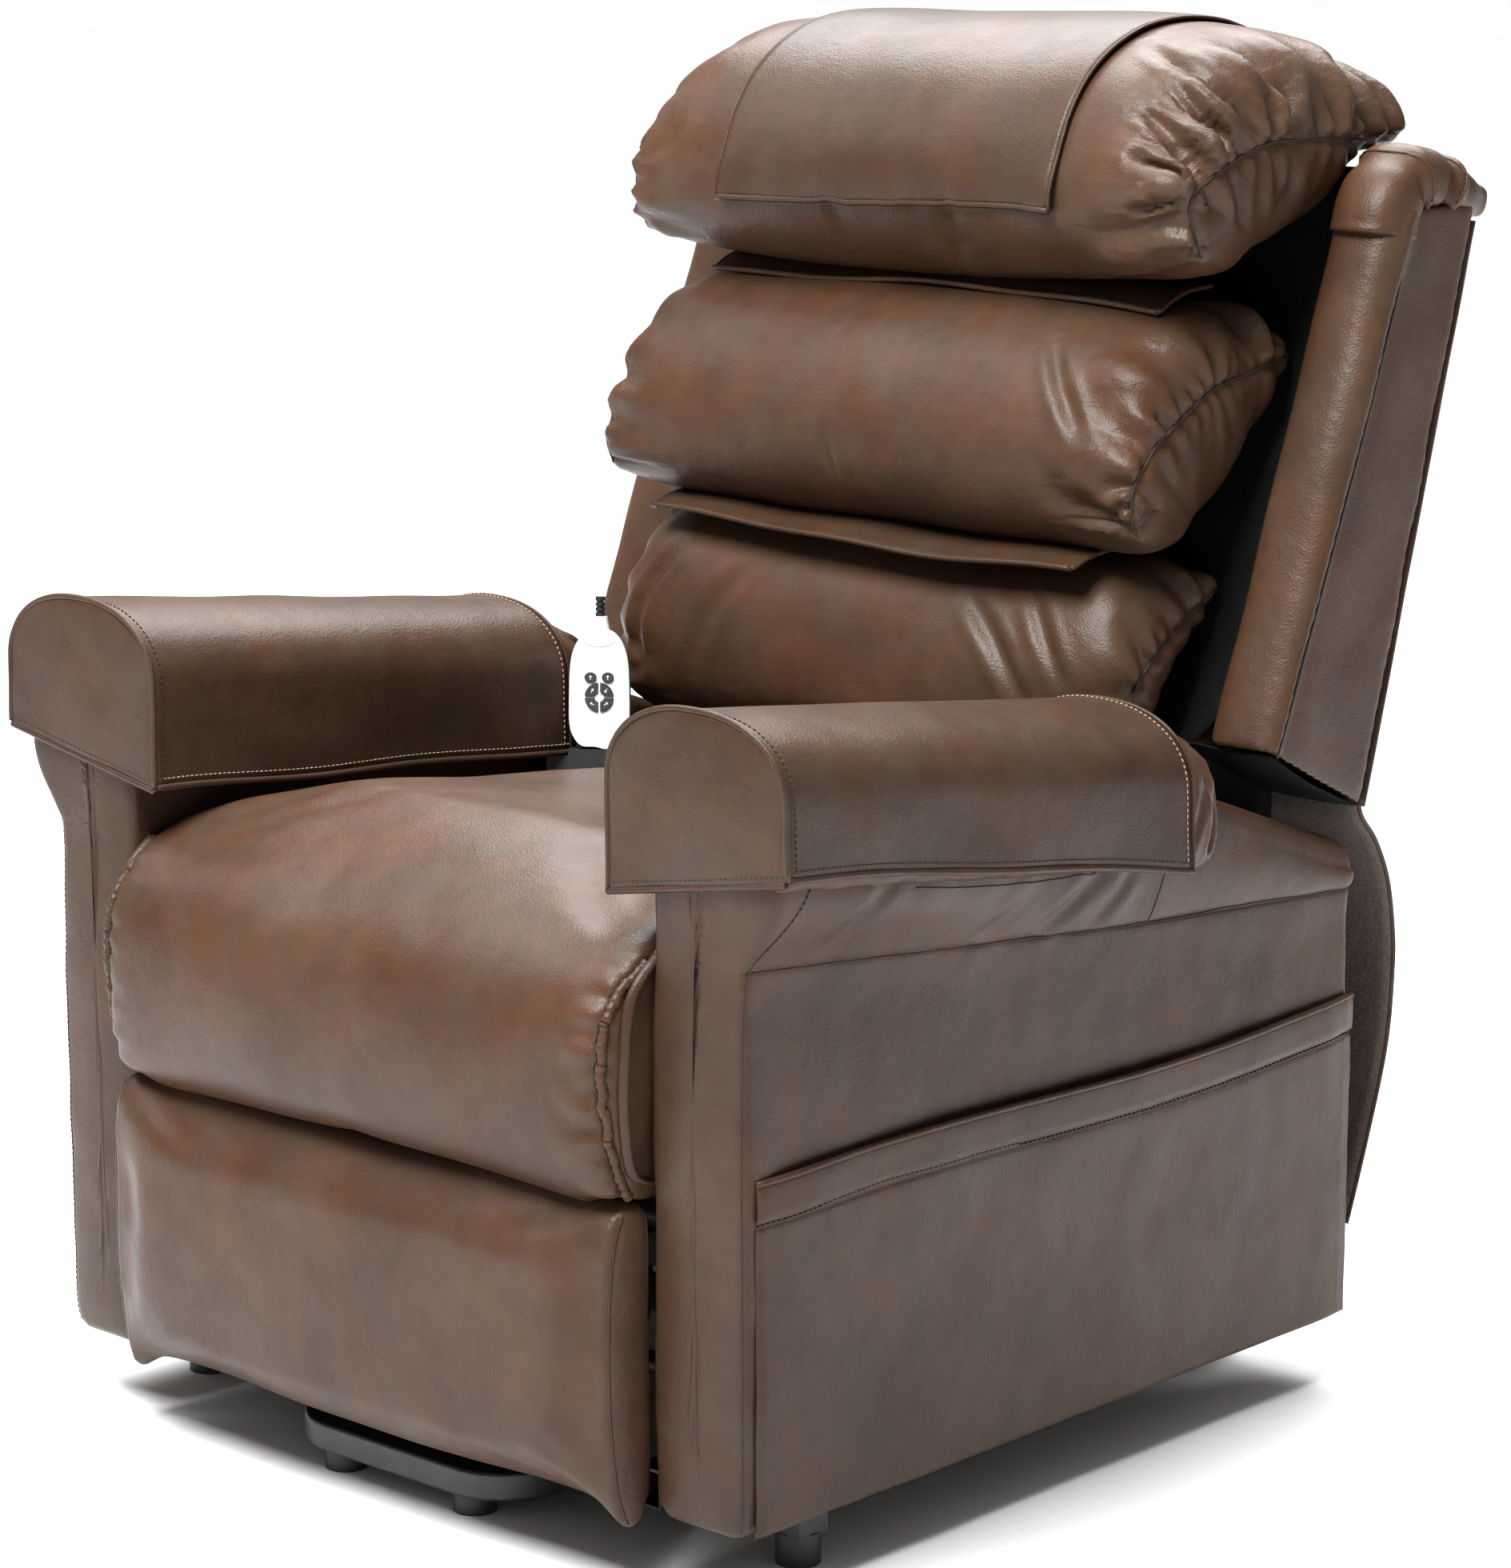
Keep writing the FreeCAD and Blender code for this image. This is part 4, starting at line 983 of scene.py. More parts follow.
def wings():
    inner_x = 0.297
    outer_x = 0.3575
    width = outer_x - inner_x
    centre_x = (inner_x + outer_x) / 2

    def section(t):
        """A ring round the wing: rounded roll in front, flat panels behind it."""
        front, rear = wing_line(t)
        span = rear - front
        length = span.length
        forward = span / length
        nose = 0.026
        ring = []
        for k in range(13):
            d = length - (length - nose) * k / 12.0
            ring.append((centre_x + width / 2 - 0.0012 * math.sin(math.pi * k / 12.0), d))
        for k in range(1, 12):
            angle = math.pi * k / 12.0
            c = math.copysign(abs(math.cos(angle)) ** 0.62, math.cos(angle))
            ring.append((centre_x + c * (width / 2 + 0.0015), nose - math.sin(angle) ** 0.7 * nose))
        for k in range(13):
            d = nose + (length - nose) * k / 12.0
            ring.append((centre_x - width / 2 + 0.002 * math.sin(math.pi * k / 12.0), d))
        for k in range(1, 6):
            ring.append((inner_x + width * k / 6.0, length + 0.001))
        points = []
        for x, d in ring:
            p = front + forward * d
            points.append(Vector((x, p.y, p.z)))
        return points

    rings = []
    foot = section(0.0)
    sides = len(foot)
    middle = centre_of(foot)
    axis = (wing_line(1.0)[0] - wing_line(0.0)[0]).normalized()
    for k in range(6):
        angle = math.pi / 2 * k / 6.0
        share = math.sin(angle)
        rings.append([middle.lerp(p, 0.60 + 0.40 * share) + axis * 0.010 * (1 - share) for p in foot])
    for k in range(0, 61):
        rings.append(section(k / 60.0))
    points = [p for ring in rings for p in ring]
    piece = skin("wing_pad_left", points, sides)
    remeshed(piece, 0.0045)
    relax(piece, 3)
    seam_path = []
    for k in range(61):
        front, rear = wing_line(k / 60.0)
        p = front + (rear - front).normalized() * (0.015 + 0.016 * k / 60.0)
        seam_path.append(Vector((outer_x, p.y, p.z)))
    finder = Seam(seam_path)
    mesh = piece.data
    for vertex in mesh.vertices:
        _, d, place = finder.near(vertex.co)
        if vertex.co.x > centre_x and d < 0.05:
            ahead = ease((place.y + 0.005 - vertex.co.y) / 0.010)
            swell = 0.0050 * math.exp(-((d - 0.008) / 0.012) ** 2)
            dip = 0.0025 * math.exp(-(d / 0.02) ** 2)
            vertex.co.x += ahead * swell - (1.0 - ahead) * dip
    mesh.update()
    subdivided(piece)
    uneven(piece, 0.0016, 16.0, 5.0)
    surface = tree_of(piece)
    line = []
    for p in seam_path:
        hit = surface.ray_cast(Vector((outer_x + 0.03, p.y, p.z)), Vector((-1.0, 0.0, 0.0)))[0]
        line.append((hit or p) + Vector((0.0011, 0.0, 0.0)))
    line = calmed(line, 30)
    # Dark thread tube along the seam where the front roll meets the side: part real seam, part painted shade
    # of the groove there.
    trims = [welt("wing_seam_left", line[:58], 0.0011, DARK_THREAD, "leather_panel", BACK_BODY, 6)]

    spine = side_curve([
        (0.338, 0.896), (0.344, 0.918), (0.360, 0.935), (0.384, 0.936), (0.412, 0.928), (0.434, 0.920),
        (0.454, 0.914),
    ], 41)
    points = []
    ring_sides = 26
    for i, p in enumerate(spine):
        t = i / 40.0
        along = (spine[min(i + 1, 40)] - spine[max(i - 1, 0)]).normalized()
        up = Vector((0.0, -along.z, along.y))
        high = 0.046 - 0.004 * ease(t / 0.4) - 0.022 * ease((t - 0.45) / 0.55)
        wide = (width / 2 + 0.0025) * (1.0 - 0.70 * ease((t - 0.62) / 0.38) ** 1.5)
        pleat = 0.0
        for at, size in ((0.34, 0.0036), (0.62, 0.0042)):
            off = (t - at) / 0.035
            pleat += size * (math.exp(-(off - 0.7) ** 2) - 0.9 * math.exp(-(off + 0.9) ** 2))
        shift = -0.012 * ease((t - 0.62) / 0.38)
        for k in range(ring_sides):
            angle = 2 * math.pi * k / ring_sides
            c, s = math.cos(angle), math.sin(angle)
            cx = math.copysign(abs(c) ** 0.75, c) * (wide + pleat)
            cz = math.copysign(abs(s) ** 0.8, s) * (high * 0.62 + pleat)
            q = p + up * (cz + 0.002)
            points.append(Vector((centre_x - shift * 1.2 + cx, q.y, q.z)))
    cap = skin("wing_top_left", points, ring_sides)
    subdivided(cap)
    cap_surface = tree_of(cap)
    creases(cap, [
        ([(0.300, 0.322, 0.899), (0.325, 0.312, 0.893), (0.356, 0.318, 0.888)], 0.0036, 0.0030),
    ])
    for index, at in enumerate((0.355, 0.64)):
        p = spine[int(at * 40)]
        along = (spine[int(at * 40) + 1] - spine[int(at * 40) - 1]).normalized()
        up = Vector((0.0, -along.z, along.y))
        ring = []
        for k in range(21):
            angle = math.pi * (-0.10 + 1.2 * k / 20.0)
            q = p + up * (math.sin(angle) * 0.030 - 0.006) + along * 0.004 * math.sin(3 * angle)
            ring.append(Vector((centre_x + math.cos(angle) * 0.040, q.y, q.z)))
        line, _ = laid_on(ring, cap_surface, 0.0003)
        name = "wing_pleat_" + str(index + 1) + "_left"
        trims.append(welt(name, line, 0.0012, HIDE, "leather_cushion", BACK_BODY, 6))
    upholster_pairs(BACK_BODY, (piece, "wing", 0.8), (cap, None, 0.5))
    mirror_left(trims, BACK_BODY)


# ---- seat -------------------------------------------------------------------------------------
SEAT = [
    (0.092, 0.338), (-0.150, 0.338), (-0.385, 0.338), (-0.390, 0.284), (-0.402, 0.270), (-0.426, 0.269),
    (-0.446, 0.284), (-0.455, 0.316), (-0.458, 0.356), (-0.459, 0.384), (-0.454, 0.414), (-0.438, 0.446),
    (-0.406, 0.470), (-0.354, 0.482), (-0.270, 0.476), (-0.120, 0.457), (0.019, 0.440), (0.090, 0.433),
]
SEAT_SEAM = [(-0.405, 0.450), (-0.436, 0.430), (-0.448, 0.410), (-0.452, 0.384), (-0.450, 0.357),
             (-0.443, 0.327), (-0.434, 0.302), (-0.425, 0.284)]


def seat_cushion():
    sides = 96
    ring = side_curve(SEAT, sides, closed=True)
    middle = Vector((0.0, -0.180, 0.400))
    half = 0.2660
    points = []
    for x, share in rounded_ends(half, 0.018, 24):
        for p in ring:
            if p.y > -0.35:
                pull = Vector((0.0, p.y, 0.400 + (p.z - 0.400) * 0.5))
            else:
                pull = Vector((0.0, p.y + 0.035, p.z * 0.9 + 0.038))
            q = p.lerp(pull, share * 0.4)
            crown = 0.0
            if p.z > 0.425:
                crown = 0.010 * math.cos(min(abs(x) / half, 1.0) * math.pi / 2) ** 1.2 - 0.004
            inset = (q - middle).normalized() * 0.0025
            points.append(Vector((x, q.y - inset.y, q.z - inset.z + crown)))
    piece = skin("seat_pad", points, sides)
    remeshed(piece, 0.0075)
    relax(piece, 3)
    seam_line = side_curve(SEAT_SEAM, 60)
    lines = [[Vector((side * 0.2625, p.y, p.z)) for p in seam_line] for side in (1, -1)]
    finders = [Seam(path) for path in lines]

    def held(point):
        if point.z < 0.345 and point.y > -0.380:
            return 1.0
        return 1.0 if min(finder.near(point)[1] for finder in finders) < 0.008 else 0.0

    inflate(piece, lambda p: 0.004 + 0.018 * ease((0.250 - abs(p.x)) / 0.10), held, 3.0)
    for vertex in piece.data.vertices:
        vertex.co.x = min(max(vertex.co.x, -0.2680), 0.2680)
    relax(piece, 12)
    for vertex in piece.data.vertices:
        x, y, z = vertex.co
        if y < -0.380 and z < 0.310:
            link_top = 0.2736 + max(-0.3985 - y, 0.0) * 0.2787
            vertex.co.z += max(link_top - z, 0.0) * ease((abs(x) - 0.226) / 0.014)
    subdivided(piece)
    for index, path in enumerate(lines):
        inward = Vector((2 * index - 1, 0, 0))
        gathers(piece, path, 51 + index, 1.0, 0.15, 0.015, 0.050, 0.0036 - 0.0012 * index, inward)
    uneven(piece, 0.0020, 9.0, 2.0)
    surface = tree_of(piece)

    def ruched(t):
        return 0.0036 + 0.00035 * math.sin(t * 170.0) + 0.0003 * math.sin(t * 71.0)

    for index, path in enumerate(lines):
        line = calmed(laid_on(even_line(path, 220), surface, 0.0016)[0], 14)
        label = "left" if index == 0 else "right"
        welt("seat_ruched_piping_" + label, line, ruched, HIDE, "leather_cushion", "carriage", 12)
        side = 1 - 2 * index
        row = [p + Vector((-side * 0.0052, -0.0010, 0.0)) for p in line]
        stitches("seat_piping_stitch_" + label, row, surface, DARK_THREAD, "carriage", 0.0046, 0.62, 0.0007)
    upholster(piece, "carriage", "seat_cushion")


def seat_gussets():
    """The stitched strips that close the gap between the seat's roll and the arms."""
    line = side_curve([
        (-0.398, 0.458), (-0.428, 0.430), (-0.436, 0.380), (-0.436, 0.340), (-0.428, 0.303), (-0.405, 0.292),
    ], 41)

    def place(u, v):
        p = line[int(round(v * 40))]
        x = 0.2625 + 0.0085 * u
        return Vector((x, p.y + 0.004 - 0.005 * math.sin(math.pi * u), p.z))

    piece = hide_sheet("seat_gusset_left", 40, 8, place)
    surface = tree_of(piece)
    row = [place(0.45, k / 40) + Vector((0, -0.001, 0)) for k in range(3, 38)]
    thickened(piece, 0.0020, 0.0)
    trim = stitches("seat_gusset_stitch_left", row, surface, DARK_THREAD, "carriage", lift=0.0012)
    lay_sheet_pair(piece, "carriage", ("seat_gussets", None), (0.012, 0.195), [trim])


# ---- footrest ---------------------------------------------------------------------------------
def footrest():
    front_line = side_curve([
        (-0.420, 0.0505), (-0.434, 0.053), (-0.443, 0.066), (-0.450, 0.110), (-0.454, 0.165),
        (-0.452, 0.215), (-0.449, 0.256), (-0.440, 0.276), (-0.422, 0.283), (-0.407, 0.279),
    ], 46)
    back = ((-0.4055, 0.270), (-0.4055, 0.060), (-0.410, 0.0525))
    back_line = even_line([Vector((0, y, z)) for y, z in back], 26)
    ring = front_line + back_line[1:-1]
    sides = len(ring)
    half = 0.2690
    points = []
    for x, share in rounded_ends(half, 0.012, 26):
        for p in ring:
            aim = Vector((0.0, -0.412, min(max(p.z, 0.066), 0.262)))
            q = p.lerp(aim, share * 0.62)
            crown = 0.004 * math.cos(x / half * math.pi / 2) if p.y < -0.43 else 0.0
            points.append(Vector((x, q.y + 0.0015 - crown, q.z)))
    piece = skin("footrest_pad_skin", points, sides)
    remeshed(piece, 0.0065)
    relax(piece, 2)
    inflate(piece, lambda p: 0.001 + 0.008 * ease((-0.414 - p.y) / 0.02) * ease((0.262 - abs(p.x)) / 0.05),
            lambda p: 1.0 if p.y > -0.409 else 0.0, 2.5)
    relax(piece, 10)
    for vertex in piece.data.vertices:
        co = vertex.co
        corner = ease((abs(co.x) - 0.238) / 0.026) * ease((0.085 - co.z) / 0.030)
        corner *= ease((-0.412 - co.y) / 0.008)
        co.z -= 0.013 * corner
        co.x += math.copysign(0.002, co.x) * corner
    subdivided(piece)
    seam_points = (
        (-0.432, 0.276), (-0.441, 0.252), (-0.4465, 0.215), (-0.4480, 0.165), (-0.4450, 0.110),
        (-0.439, 0.070), (-0.430, 0.046),
    )
    seams = [[Vector((side * 0.2650, y - 0.001, z)) for y, z in seam_points] for side in (1, -1)]
    for path in seams:
        finder = Seam(smooth_line(path, 80))
        for vertex in piece.data.vertices:
            d = finder.near(vertex.co)[1]
            if d < 0.014:
                ridge = 0.0022 * math.exp(-(d / 0.003) ** 2)
                vertex.co.y += ridge - 0.0012 * math.exp(-((d - 0.006) / 0.003) ** 2)
    uneven(piece, 0.0022, 10.0, 7.0)
    surface = tree_of(piece)
    for index, path in enumerate(seams):
        line, _ = laid_on(smooth_line(path, 90), surface, 0.0003)
        name = "footrest_seam_" + ("left" if index == 0 else "right")
        welt(name, line, 0.0011, HIDE_PANEL, "leather_panel", "footrest", 6)
    upholster(piece, "footrest", "footrest_pad")


# ---- arms -------------------------------------------------------------------------------------
FRONT_Y = -0.412
REAR_Y = 0.286
ARM_X = 0.320


def pad_crown(y):
    return 0.6335 - 0.131 * (y - FRONT_Y)


def cover_top(y):
    if y < 0.078:
        return 0.5705 + (0.509 - 0.5705) * (y - FRONT_Y) / (0.078 - FRONT_Y)
    return 0.509 + (0.432 - 0.509) * (y - 0.078) / (REAR_Y - 0.078)


def yoke_z(y):
    if y < 0.024:
        return 0.459 + (0.416 - 0.459) * (y + 0.400) / 0.424
    return 0.416 + (0.397 - 0.416) * (y - 0.024) / 0.262


def flare(y, z):
    """How far the outer side leans out under the arm rest."""
    low = pad_crown(y) - 0.112
    along = 1.0 - 0.85 * ease((y + 0.330) / 0.440)
    return 0.031 * ease((z - (low - 0.085)) / 0.085) ** 1.3 * along


def cover_ring(y, inset):
    """Cross-section of the arm's side cover, from the inner foot over the top to the outer foot."""
    inner = 0.272 + inset
    outer = 0.357 - inset
    top = cover_top(y) - inset
    low = 0.052 + inset
    yoke = yoke_z(y)
    ring = []
    for k in range(15):
        z = low + (top - 0.012 - low) * k / 14.0
        ring.append((inner - 0.0025 * math.sin(math.pi * k / 14.0), z))
    for k in range(1, 5):
        angle = math.pi / 2 * k / 4.0
        ring.append((inner + 0.012 * (1 - math.cos(angle)), top - 0.012 + 0.012 * math.sin(angle)))
    ring.append(((inner + outer) / 2, top + 0.003))
    corner = 0.022
    for k in range(6):
        angle = math.pi / 2 * k / 5.0
        z = top - corner + corner * math.cos(angle)
        ring.append((outer - corner + corner * math.sin(angle) + flare(y, z), z))
    side = []
    for k in range(1, 12):
        side.append((top - corner) + (yoke + 0.004 - top + corner) * k / 11.0)
    side += [yoke + 0.0015, yoke, yoke - 0.0015, yoke - 0.005]
    for k in range(1, 19):
        side.append(yoke - 0.005 + (low - yoke + 0.005) * k / 18.0)
    for z in side:
        groove = 0.0020 * math.exp(-((z - yoke) / 0.0014) ** 2)
        swell = 0.0030 * math.sin(math.pi * min(max((z - low) / (yoke - low), 0.0), 1.0)) ** 0.7
        if z > yoke:
            swell = 0.0035 * math.sin(math.pi * min((z - yoke) / max(top - corner - yoke, 0.02), 1.0)) ** 0.8
        ring.append((outer + flare(y, z) + swell - groove, z))
    ring.append((outer - 0.020, low - 0.001))
    ring.append(((inner + outer) / 2, low - 0.001))
    ring.append((inner + 0.020, low - 0.001))
    return ring


def arm_cover():
    rings = []
    radius = 0.009

    def closing(y_face, inward):
        made = []
        for share in (0.985, 0.80, 0.55, 0.25, 0.0):
            made.append([
                Vector(((x * (1 - share) + 0.3145 * share), y_face - inward * 0.0026 * share * (2 - share),
                        z * (1 - share) + min(max(z, 0.090), cover_top(y_face) - 0.040) * share))
                for x, z in cover_ring(y_face + inward * radius, radius)
            ])
        for k in range(1, 5):
            angle = math.pi / 2 * k / 4.0
            inset = radius * (1 - math.sin(angle))
            y = y_face + inward * radius * (1 - math.cos(angle))
            made.append([Vector((x, y, z)) for x, z in cover_ring(y_face + inward * radius, inset)])
        return made

    front = closing(FRONT_Y, 1)
    rear = closing(REAR_Y, -1)
    rings.extend(front)
    steps = 70
    for k in range(1, steps):
        y = FRONT_Y + radius + (REAR_Y - FRONT_Y - 2 * radius) * k / steps
        rings.append([Vector((x, y, z)) for x, z in cover_ring(y, 0.0)])
    rings.extend(rear[::-1])
    sides = len(rings[0])
    points = [p for ring in rings for p in ring]
    piece = skin("arm_side_cover_left", points, sides, HIDE_PANEL, "leather_panel")
    subdivided(piece)
    creases(piece, [
        ([(0.392, -0.290, 0.512), (0.380, -0.320, 0.490), (0.366, -0.345, 0.468)], 0.0022, 0.0060),
        ([(0.372, -0.040, 0.470), (0.364, -0.075, 0.450), (0.359, -0.110, 0.432)], 0.0026, 0.0070),
        ([(0.368, 0.000, 0.466), (0.362, -0.020, 0.447), (0.359, -0.045, 0.430)], 0.0022, 0.0060),
        ([(0.375, -0.110, 0.474), (0.364, -0.150, 0.455), (0.359, -0.190, 0.440)], 0.0016, 0.0080),
    ])
    uneven(piece, 0.0022, 8.0, 9.0)
    uneven(piece, 0.0009, 28.0, 2.0)
    surface = tree_of(piece)
    paths = {
        "yoke": [(0.3585, y, yoke_z(y)) for y in (-0.404, -0.300, -0.150, 0.024, 0.150, 0.282)],
        "corner": [(0.356, -0.411, 0.056), (0.356, -0.411, 0.200), (0.356, -0.411, 0.380),
                   (0.358, -0.408, 0.450), (0.368, -0.400, 0.486), (0.390, -0.380, 0.520)],
        "under_pad": [(0.388, -0.270, 0.500), (0.380, -0.189, 0.486), (0.372, -0.100, 0.474),
                      (0.366, -0.038, 0.469)],
        "short": [(0.364, 0.044, 0.468), (0.362, 0.038, 0.450), (0.3585, 0.029, 0.417)],
    }
    for name, path in paths.items():
        line = calmed(laid_on(smooth_line(path, 160), surface, 0.0001)[0])
        thin = 0.0006 if name in ("yoke", "corner") else 0.0005
        label = name + "_left"
        seam = welt("arm_seam_" + label, line, thin, DARK_THREAD, "leather_panel", "carriage", 5)
        mirror_left([seam], "carriage")
        if name != "short":
            label = "arm_stitch_" + label
            row = stitches(label, line, surface, DARK_THREAD, "carriage", 0.0046, 0.6, 0.0006)
            mirror_left([row], "carriage")
    upholster_pairs("carriage", (piece, "arm_cover", 0.9))


def side_pockets():
    front_y = -0.401
    rear_y = 0.2850
    low = 0.054

    def top_z(u):
        return 0.309 + 0.004 * math.sin(u * 7.0)

    def place(u, v):
        y = front_y + (rear_y - front_y) * u
        top = top_z(u)
        z = low + (top - low) * v
        held = ease(u / 0.05) * ease((1 - u) / 0.05)
        gap = (0.0020 + 0.0060 * ease((v - 0.45) / 0.55) * math.sin(math.pi * u) ** 0.7) * held
        hem = 0.0016 * ease((z - (top - 0.029)) / 0.003) * (1 - 0.5 * ease((z - (top - 0.008)) / 0.008))
        pinch = -0.0022 * math.exp(-((z - (top - 0.030)) / 0.0022) ** 2)
        return Vector((0.3600 + gap + hem + pinch, y, z))

    piece = hide_sheet("side_pocket_sheet_left", 70, 70, place)
    uneven(piece, 0.0016, 12.0, 4.0)
    uneven(piece, 0.0008, 34.0, 6.0)
    surface = tree_of(piece)
    thickened(piece, 0.0022, 0.0)
    edge, _ = laid_on([place(k / 80, 1.0) for k in range(81)], surface, 0.0)
    row = [place(k / 80, 1.0) - Vector((0, 0, 0.030)) for k in range(81)]
    trims = [
        rolled_edge("pocket_rolled_edge_left", edge, 0.0026, "carriage"),
        stitches("pocket_stitch_left", row, surface, DARK_THREAD, "carriage", 0.0050, 0.6, 0.0007, 0.0012),
    ]
    pair_nodes = ("side_pocket_left", "side_pocket_right")
    lay_sheet_pair(piece, "carriage", pair_nodes, (0.690, 0.258), trims)


def arch(y, grow, inner_drop, outer_drop, steps):
    """Cross-section of the arm rest: upright sides under a round crown, inner foot to outer foot."""
    half = 0.080 + grow
    rise = 0.058
    top = pad_crown(y) + grow
    shoulder = top - rise
    path = [Vector((ARM_X - half, y, top - inner_drop)), Vector((ARM_X - half, y, shoulder - 0.006))]
    for k in range(1, 24):
        angle = math.pi * (1 - k / 24.0)
        c, s = math.cos(angle), math.sin(angle)
        x = ARM_X + half * math.copysign(abs(c) ** 0.86, c)
        path.append(Vector((x, y, shoulder + rise * s ** 0.92)))
    path.append(Vector((ARM_X + half, y, shoulder - 0.006)))
    path.append(Vector((ARM_X + half, y, top - outer_drop)))
    return even_line(path, steps)


def arm_pads():
    sides = 60
    rings = []
    for k in range(30):
        y = -0.4125 + (0.024 + 0.4125) * k / 29.0
        rings.append(arch(y, -0.0045, 0.110, 0.110, sides))
    for k in range(1, 11):
        angle = math.pi / 2 * k / 10.0
        y = 0.024 + 0.080 * math.sin(angle)
        share = 1 - math.cos(angle)
        ring = []
        for p in arch(y, -0.0045, 0.110, 0.110, sides):
            low = pad_crown(y) - 0.066 + (p.z - pad_crown(y) + 0.066) * 0.30
            aim = Vector((ARM_X + (p.x - ARM_X) * 0.25, y, low))
            ring.append(p.lerp(aim, share * 0.80))
        rings.append(ring)
    points = [p for ring in rings for p in ring]
    piece = skin("arm_rest_pad_left", points, sides)
    remeshed(piece, 0.0065)
    relax(piece, 3)
    inflate(piece, lambda p: 0.0015 + 0.010 * ease((p.y - 0.020) / 0.060),
            lambda p: 1.0 if p.y < -0.30 else 0.0, 3.0)
    subdivided(piece)
    folds = []
    chance = random.Random(5)
    for k in range(7):
        x = 0.262 + 0.018 * k + chance.uniform(-0.004, 0.004)
        z = 0.468 + 0.02 * (k % 2)
        back = 0.100 - 16.0 * (x - ARM_X) ** 2
        halfway = (x + chance.uniform(-0.008, 0.008), back + 0.002, z + 0.030)
        top_x = x + chance.uniform(-0.012, 0.012)
        top = (top_x, back - 0.014, z + 0.058 + chance.uniform(-0.01, 0.01))
        folds.append(([(x, back, z), halfway, top], 0.0045, 0.0048))
    folds.append(([(0.398, 0.030, 0.470), (0.396, 0.048, 0.500), (0.390, 0.062, 0.535)], 0.0030, 0.0050))
    folds.append(([(0.386, 0.062, 0.465), (0.382, 0.074, 0.495), (0.376, 0.082, 0.525)], 0.0036, 0.0050))
    creases(piece, folds)
    uneven(piece, 0.0012, 14.0, 8.0)
    upholster_pairs("carriage", (piece, "arm_pad", 0.8))


def arm_caps():
    """The loose leather sleeves over the fronts of the arm rests."""
    start = -0.4165
    end = 0.023
    grow = 0.0030
    columns = 64
    rows = 60

    def drops(y):
        t = (y - start) / (end - start)
        return 0.136 - 0.020 * t, 0.107 + 0.006 * t

    def place(u, v):
        y = start + (end - start) * v
        inner_drop, outer_drop = drops(y)
        p = arch(y, grow, inner_drop, outer_drop, columns + 1)[int(round(u * columns))]
        centre = Vector((ARM_X, y, pad_crown(y) - 0.060))
        out = Vector((p.x - centre.x, 0.0, (p.z - centre.z)))
        out.normalize()
        low = ease((pad_crown(y) - 0.070 - p.z) / 0.040)
        wave = low * 0.0018 * math.sin(y * 26.0 + (0.5 if p.x > ARM_X else 2.0))
        lift = 0.0012 * ease((v - 0.9) / 0.1)
        hem = low * 0.0040 * math.sin(v * 3.2 + 0.6) if p.x > ARM_X else 0.0
        return p + out * (wave + lift) + Vector((0, 0, hem))

    sleeve = hide_sheet("arm_cap_sleeve_left", rows, columns, place)
    relax(sleeve, 1)
    uneven(sleeve, 0.0012, 15.0, 1.0)
    top = tree_of(sleeve)
    thickened(sleeve, 0.0020, -1.0)

    def front_place(u, v):
        edge = arch(start, grow, *drops(start), columns + 1)[int(round(u * columns))]
        floor = Vector((edge.x, start, 0.0))
        t = (edge.x - 0.2392) / 0.1616
        floor.z = 0.4995 + 0.0290 * t
        p = floor.lerp(edge, v)
        rise = math.sin(math.pi * min(v, 1.0)) ** 0.5
        bulge = 0.0035 * rise * math.sin(math.pi * min(max(t, 0.0), 1.0)) ** 0.5
        return Vector((p.x, start - 0.0008 - bulge, p.z))

    panel = hide_sheet("arm_cap_front_left", 24, columns, front_place)
    uneven(panel, 0.0010, 22.0, 4.0)
    panel_surface = tree_of(panel)
    thickened(panel, 0.0018, 0.0)

    seam = [place(k / columns, 0.0) + Vector((0, -0.0008, 0.0)) for k in range(columns + 1)]
    hem = [place(0.0, k / 60) for k in range(61)]
    outer_hem = [place(1.0, k / 60) for k in range(61)]
    rear_edge = [place(k / columns, 1.0) for k in range(columns + 1)]
    foot = [front_place(k / columns, 0.0) for k in range(columns + 1)]
    sleeve_trims = [
        rolled_edge("cap_arch_piping_left", seam, 0.0024, "carriage"),
        rolled_edge("cap_inner_hem_left", hem, 0.0026, "carriage"),
        rolled_edge("cap_outer_hem_left", outer_hem, 0.0026, "carriage"),
        rolled_edge("cap_rear_edge_left", rear_edge, 0.0015, "carriage"),
    ]
    rows_of = {
        "arch_a": ([place(k / columns, 0.018) for k in range(1, columns)], DARK_THREAD),
        "outer": ([place(1.0, k / 60) + Vector((0, 0, 0.0065)) for k in range(1, 61)], DARK_THREAD),
        "inner": ([place(0.0, k / 60) + Vector((0, 0, 0.0065)) for k in range(1, 61)], TAN_THREAD),
        "rear": ([place(k / columns, 0.984) for k in range(1, columns)], TAN_THREAD),
    }
    for name, (path, colour) in rows_of.items():
        label = "cap_stitch_" + name + "_left"
        sleeve_trims.append(stitches(label, path, top, colour, "carriage", 0.0046, 0.62, 0.0006))
    panel_trims = [
        rolled_edge("cap_front_hem_left", foot, 0.0026, "carriage"),
        stitches("cap_stitch_front_left", [p + Vector((0, 0, 0.0065)) for p in foot[2:-2]], panel_surface,
                 DARK_THREAD, "carriage", 0.0046, 0.62, 0.0006, 0.0010),
    ]
    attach(sleeve, "carriage")
    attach(panel, "carriage")
    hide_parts("arm_cap_left")
    other, other_panel = mirror_left([sleeve, panel], "carriage")
    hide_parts("arm_cap_right")
    copies = mirror_left(sleeve_trims, "carriage")
    panel_copies = mirror_left(panel_trims, "carriage")
    for cap, front, pad, cap_trims, front_trims in (
        (sleeve, panel, "arm_rest_pad_left", sleeve_trims, panel_trims),
        (other, other_panel, "arm_rest_pad_right", copies, panel_copies),
    ):
        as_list(cap_trims)
        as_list(front_trims)


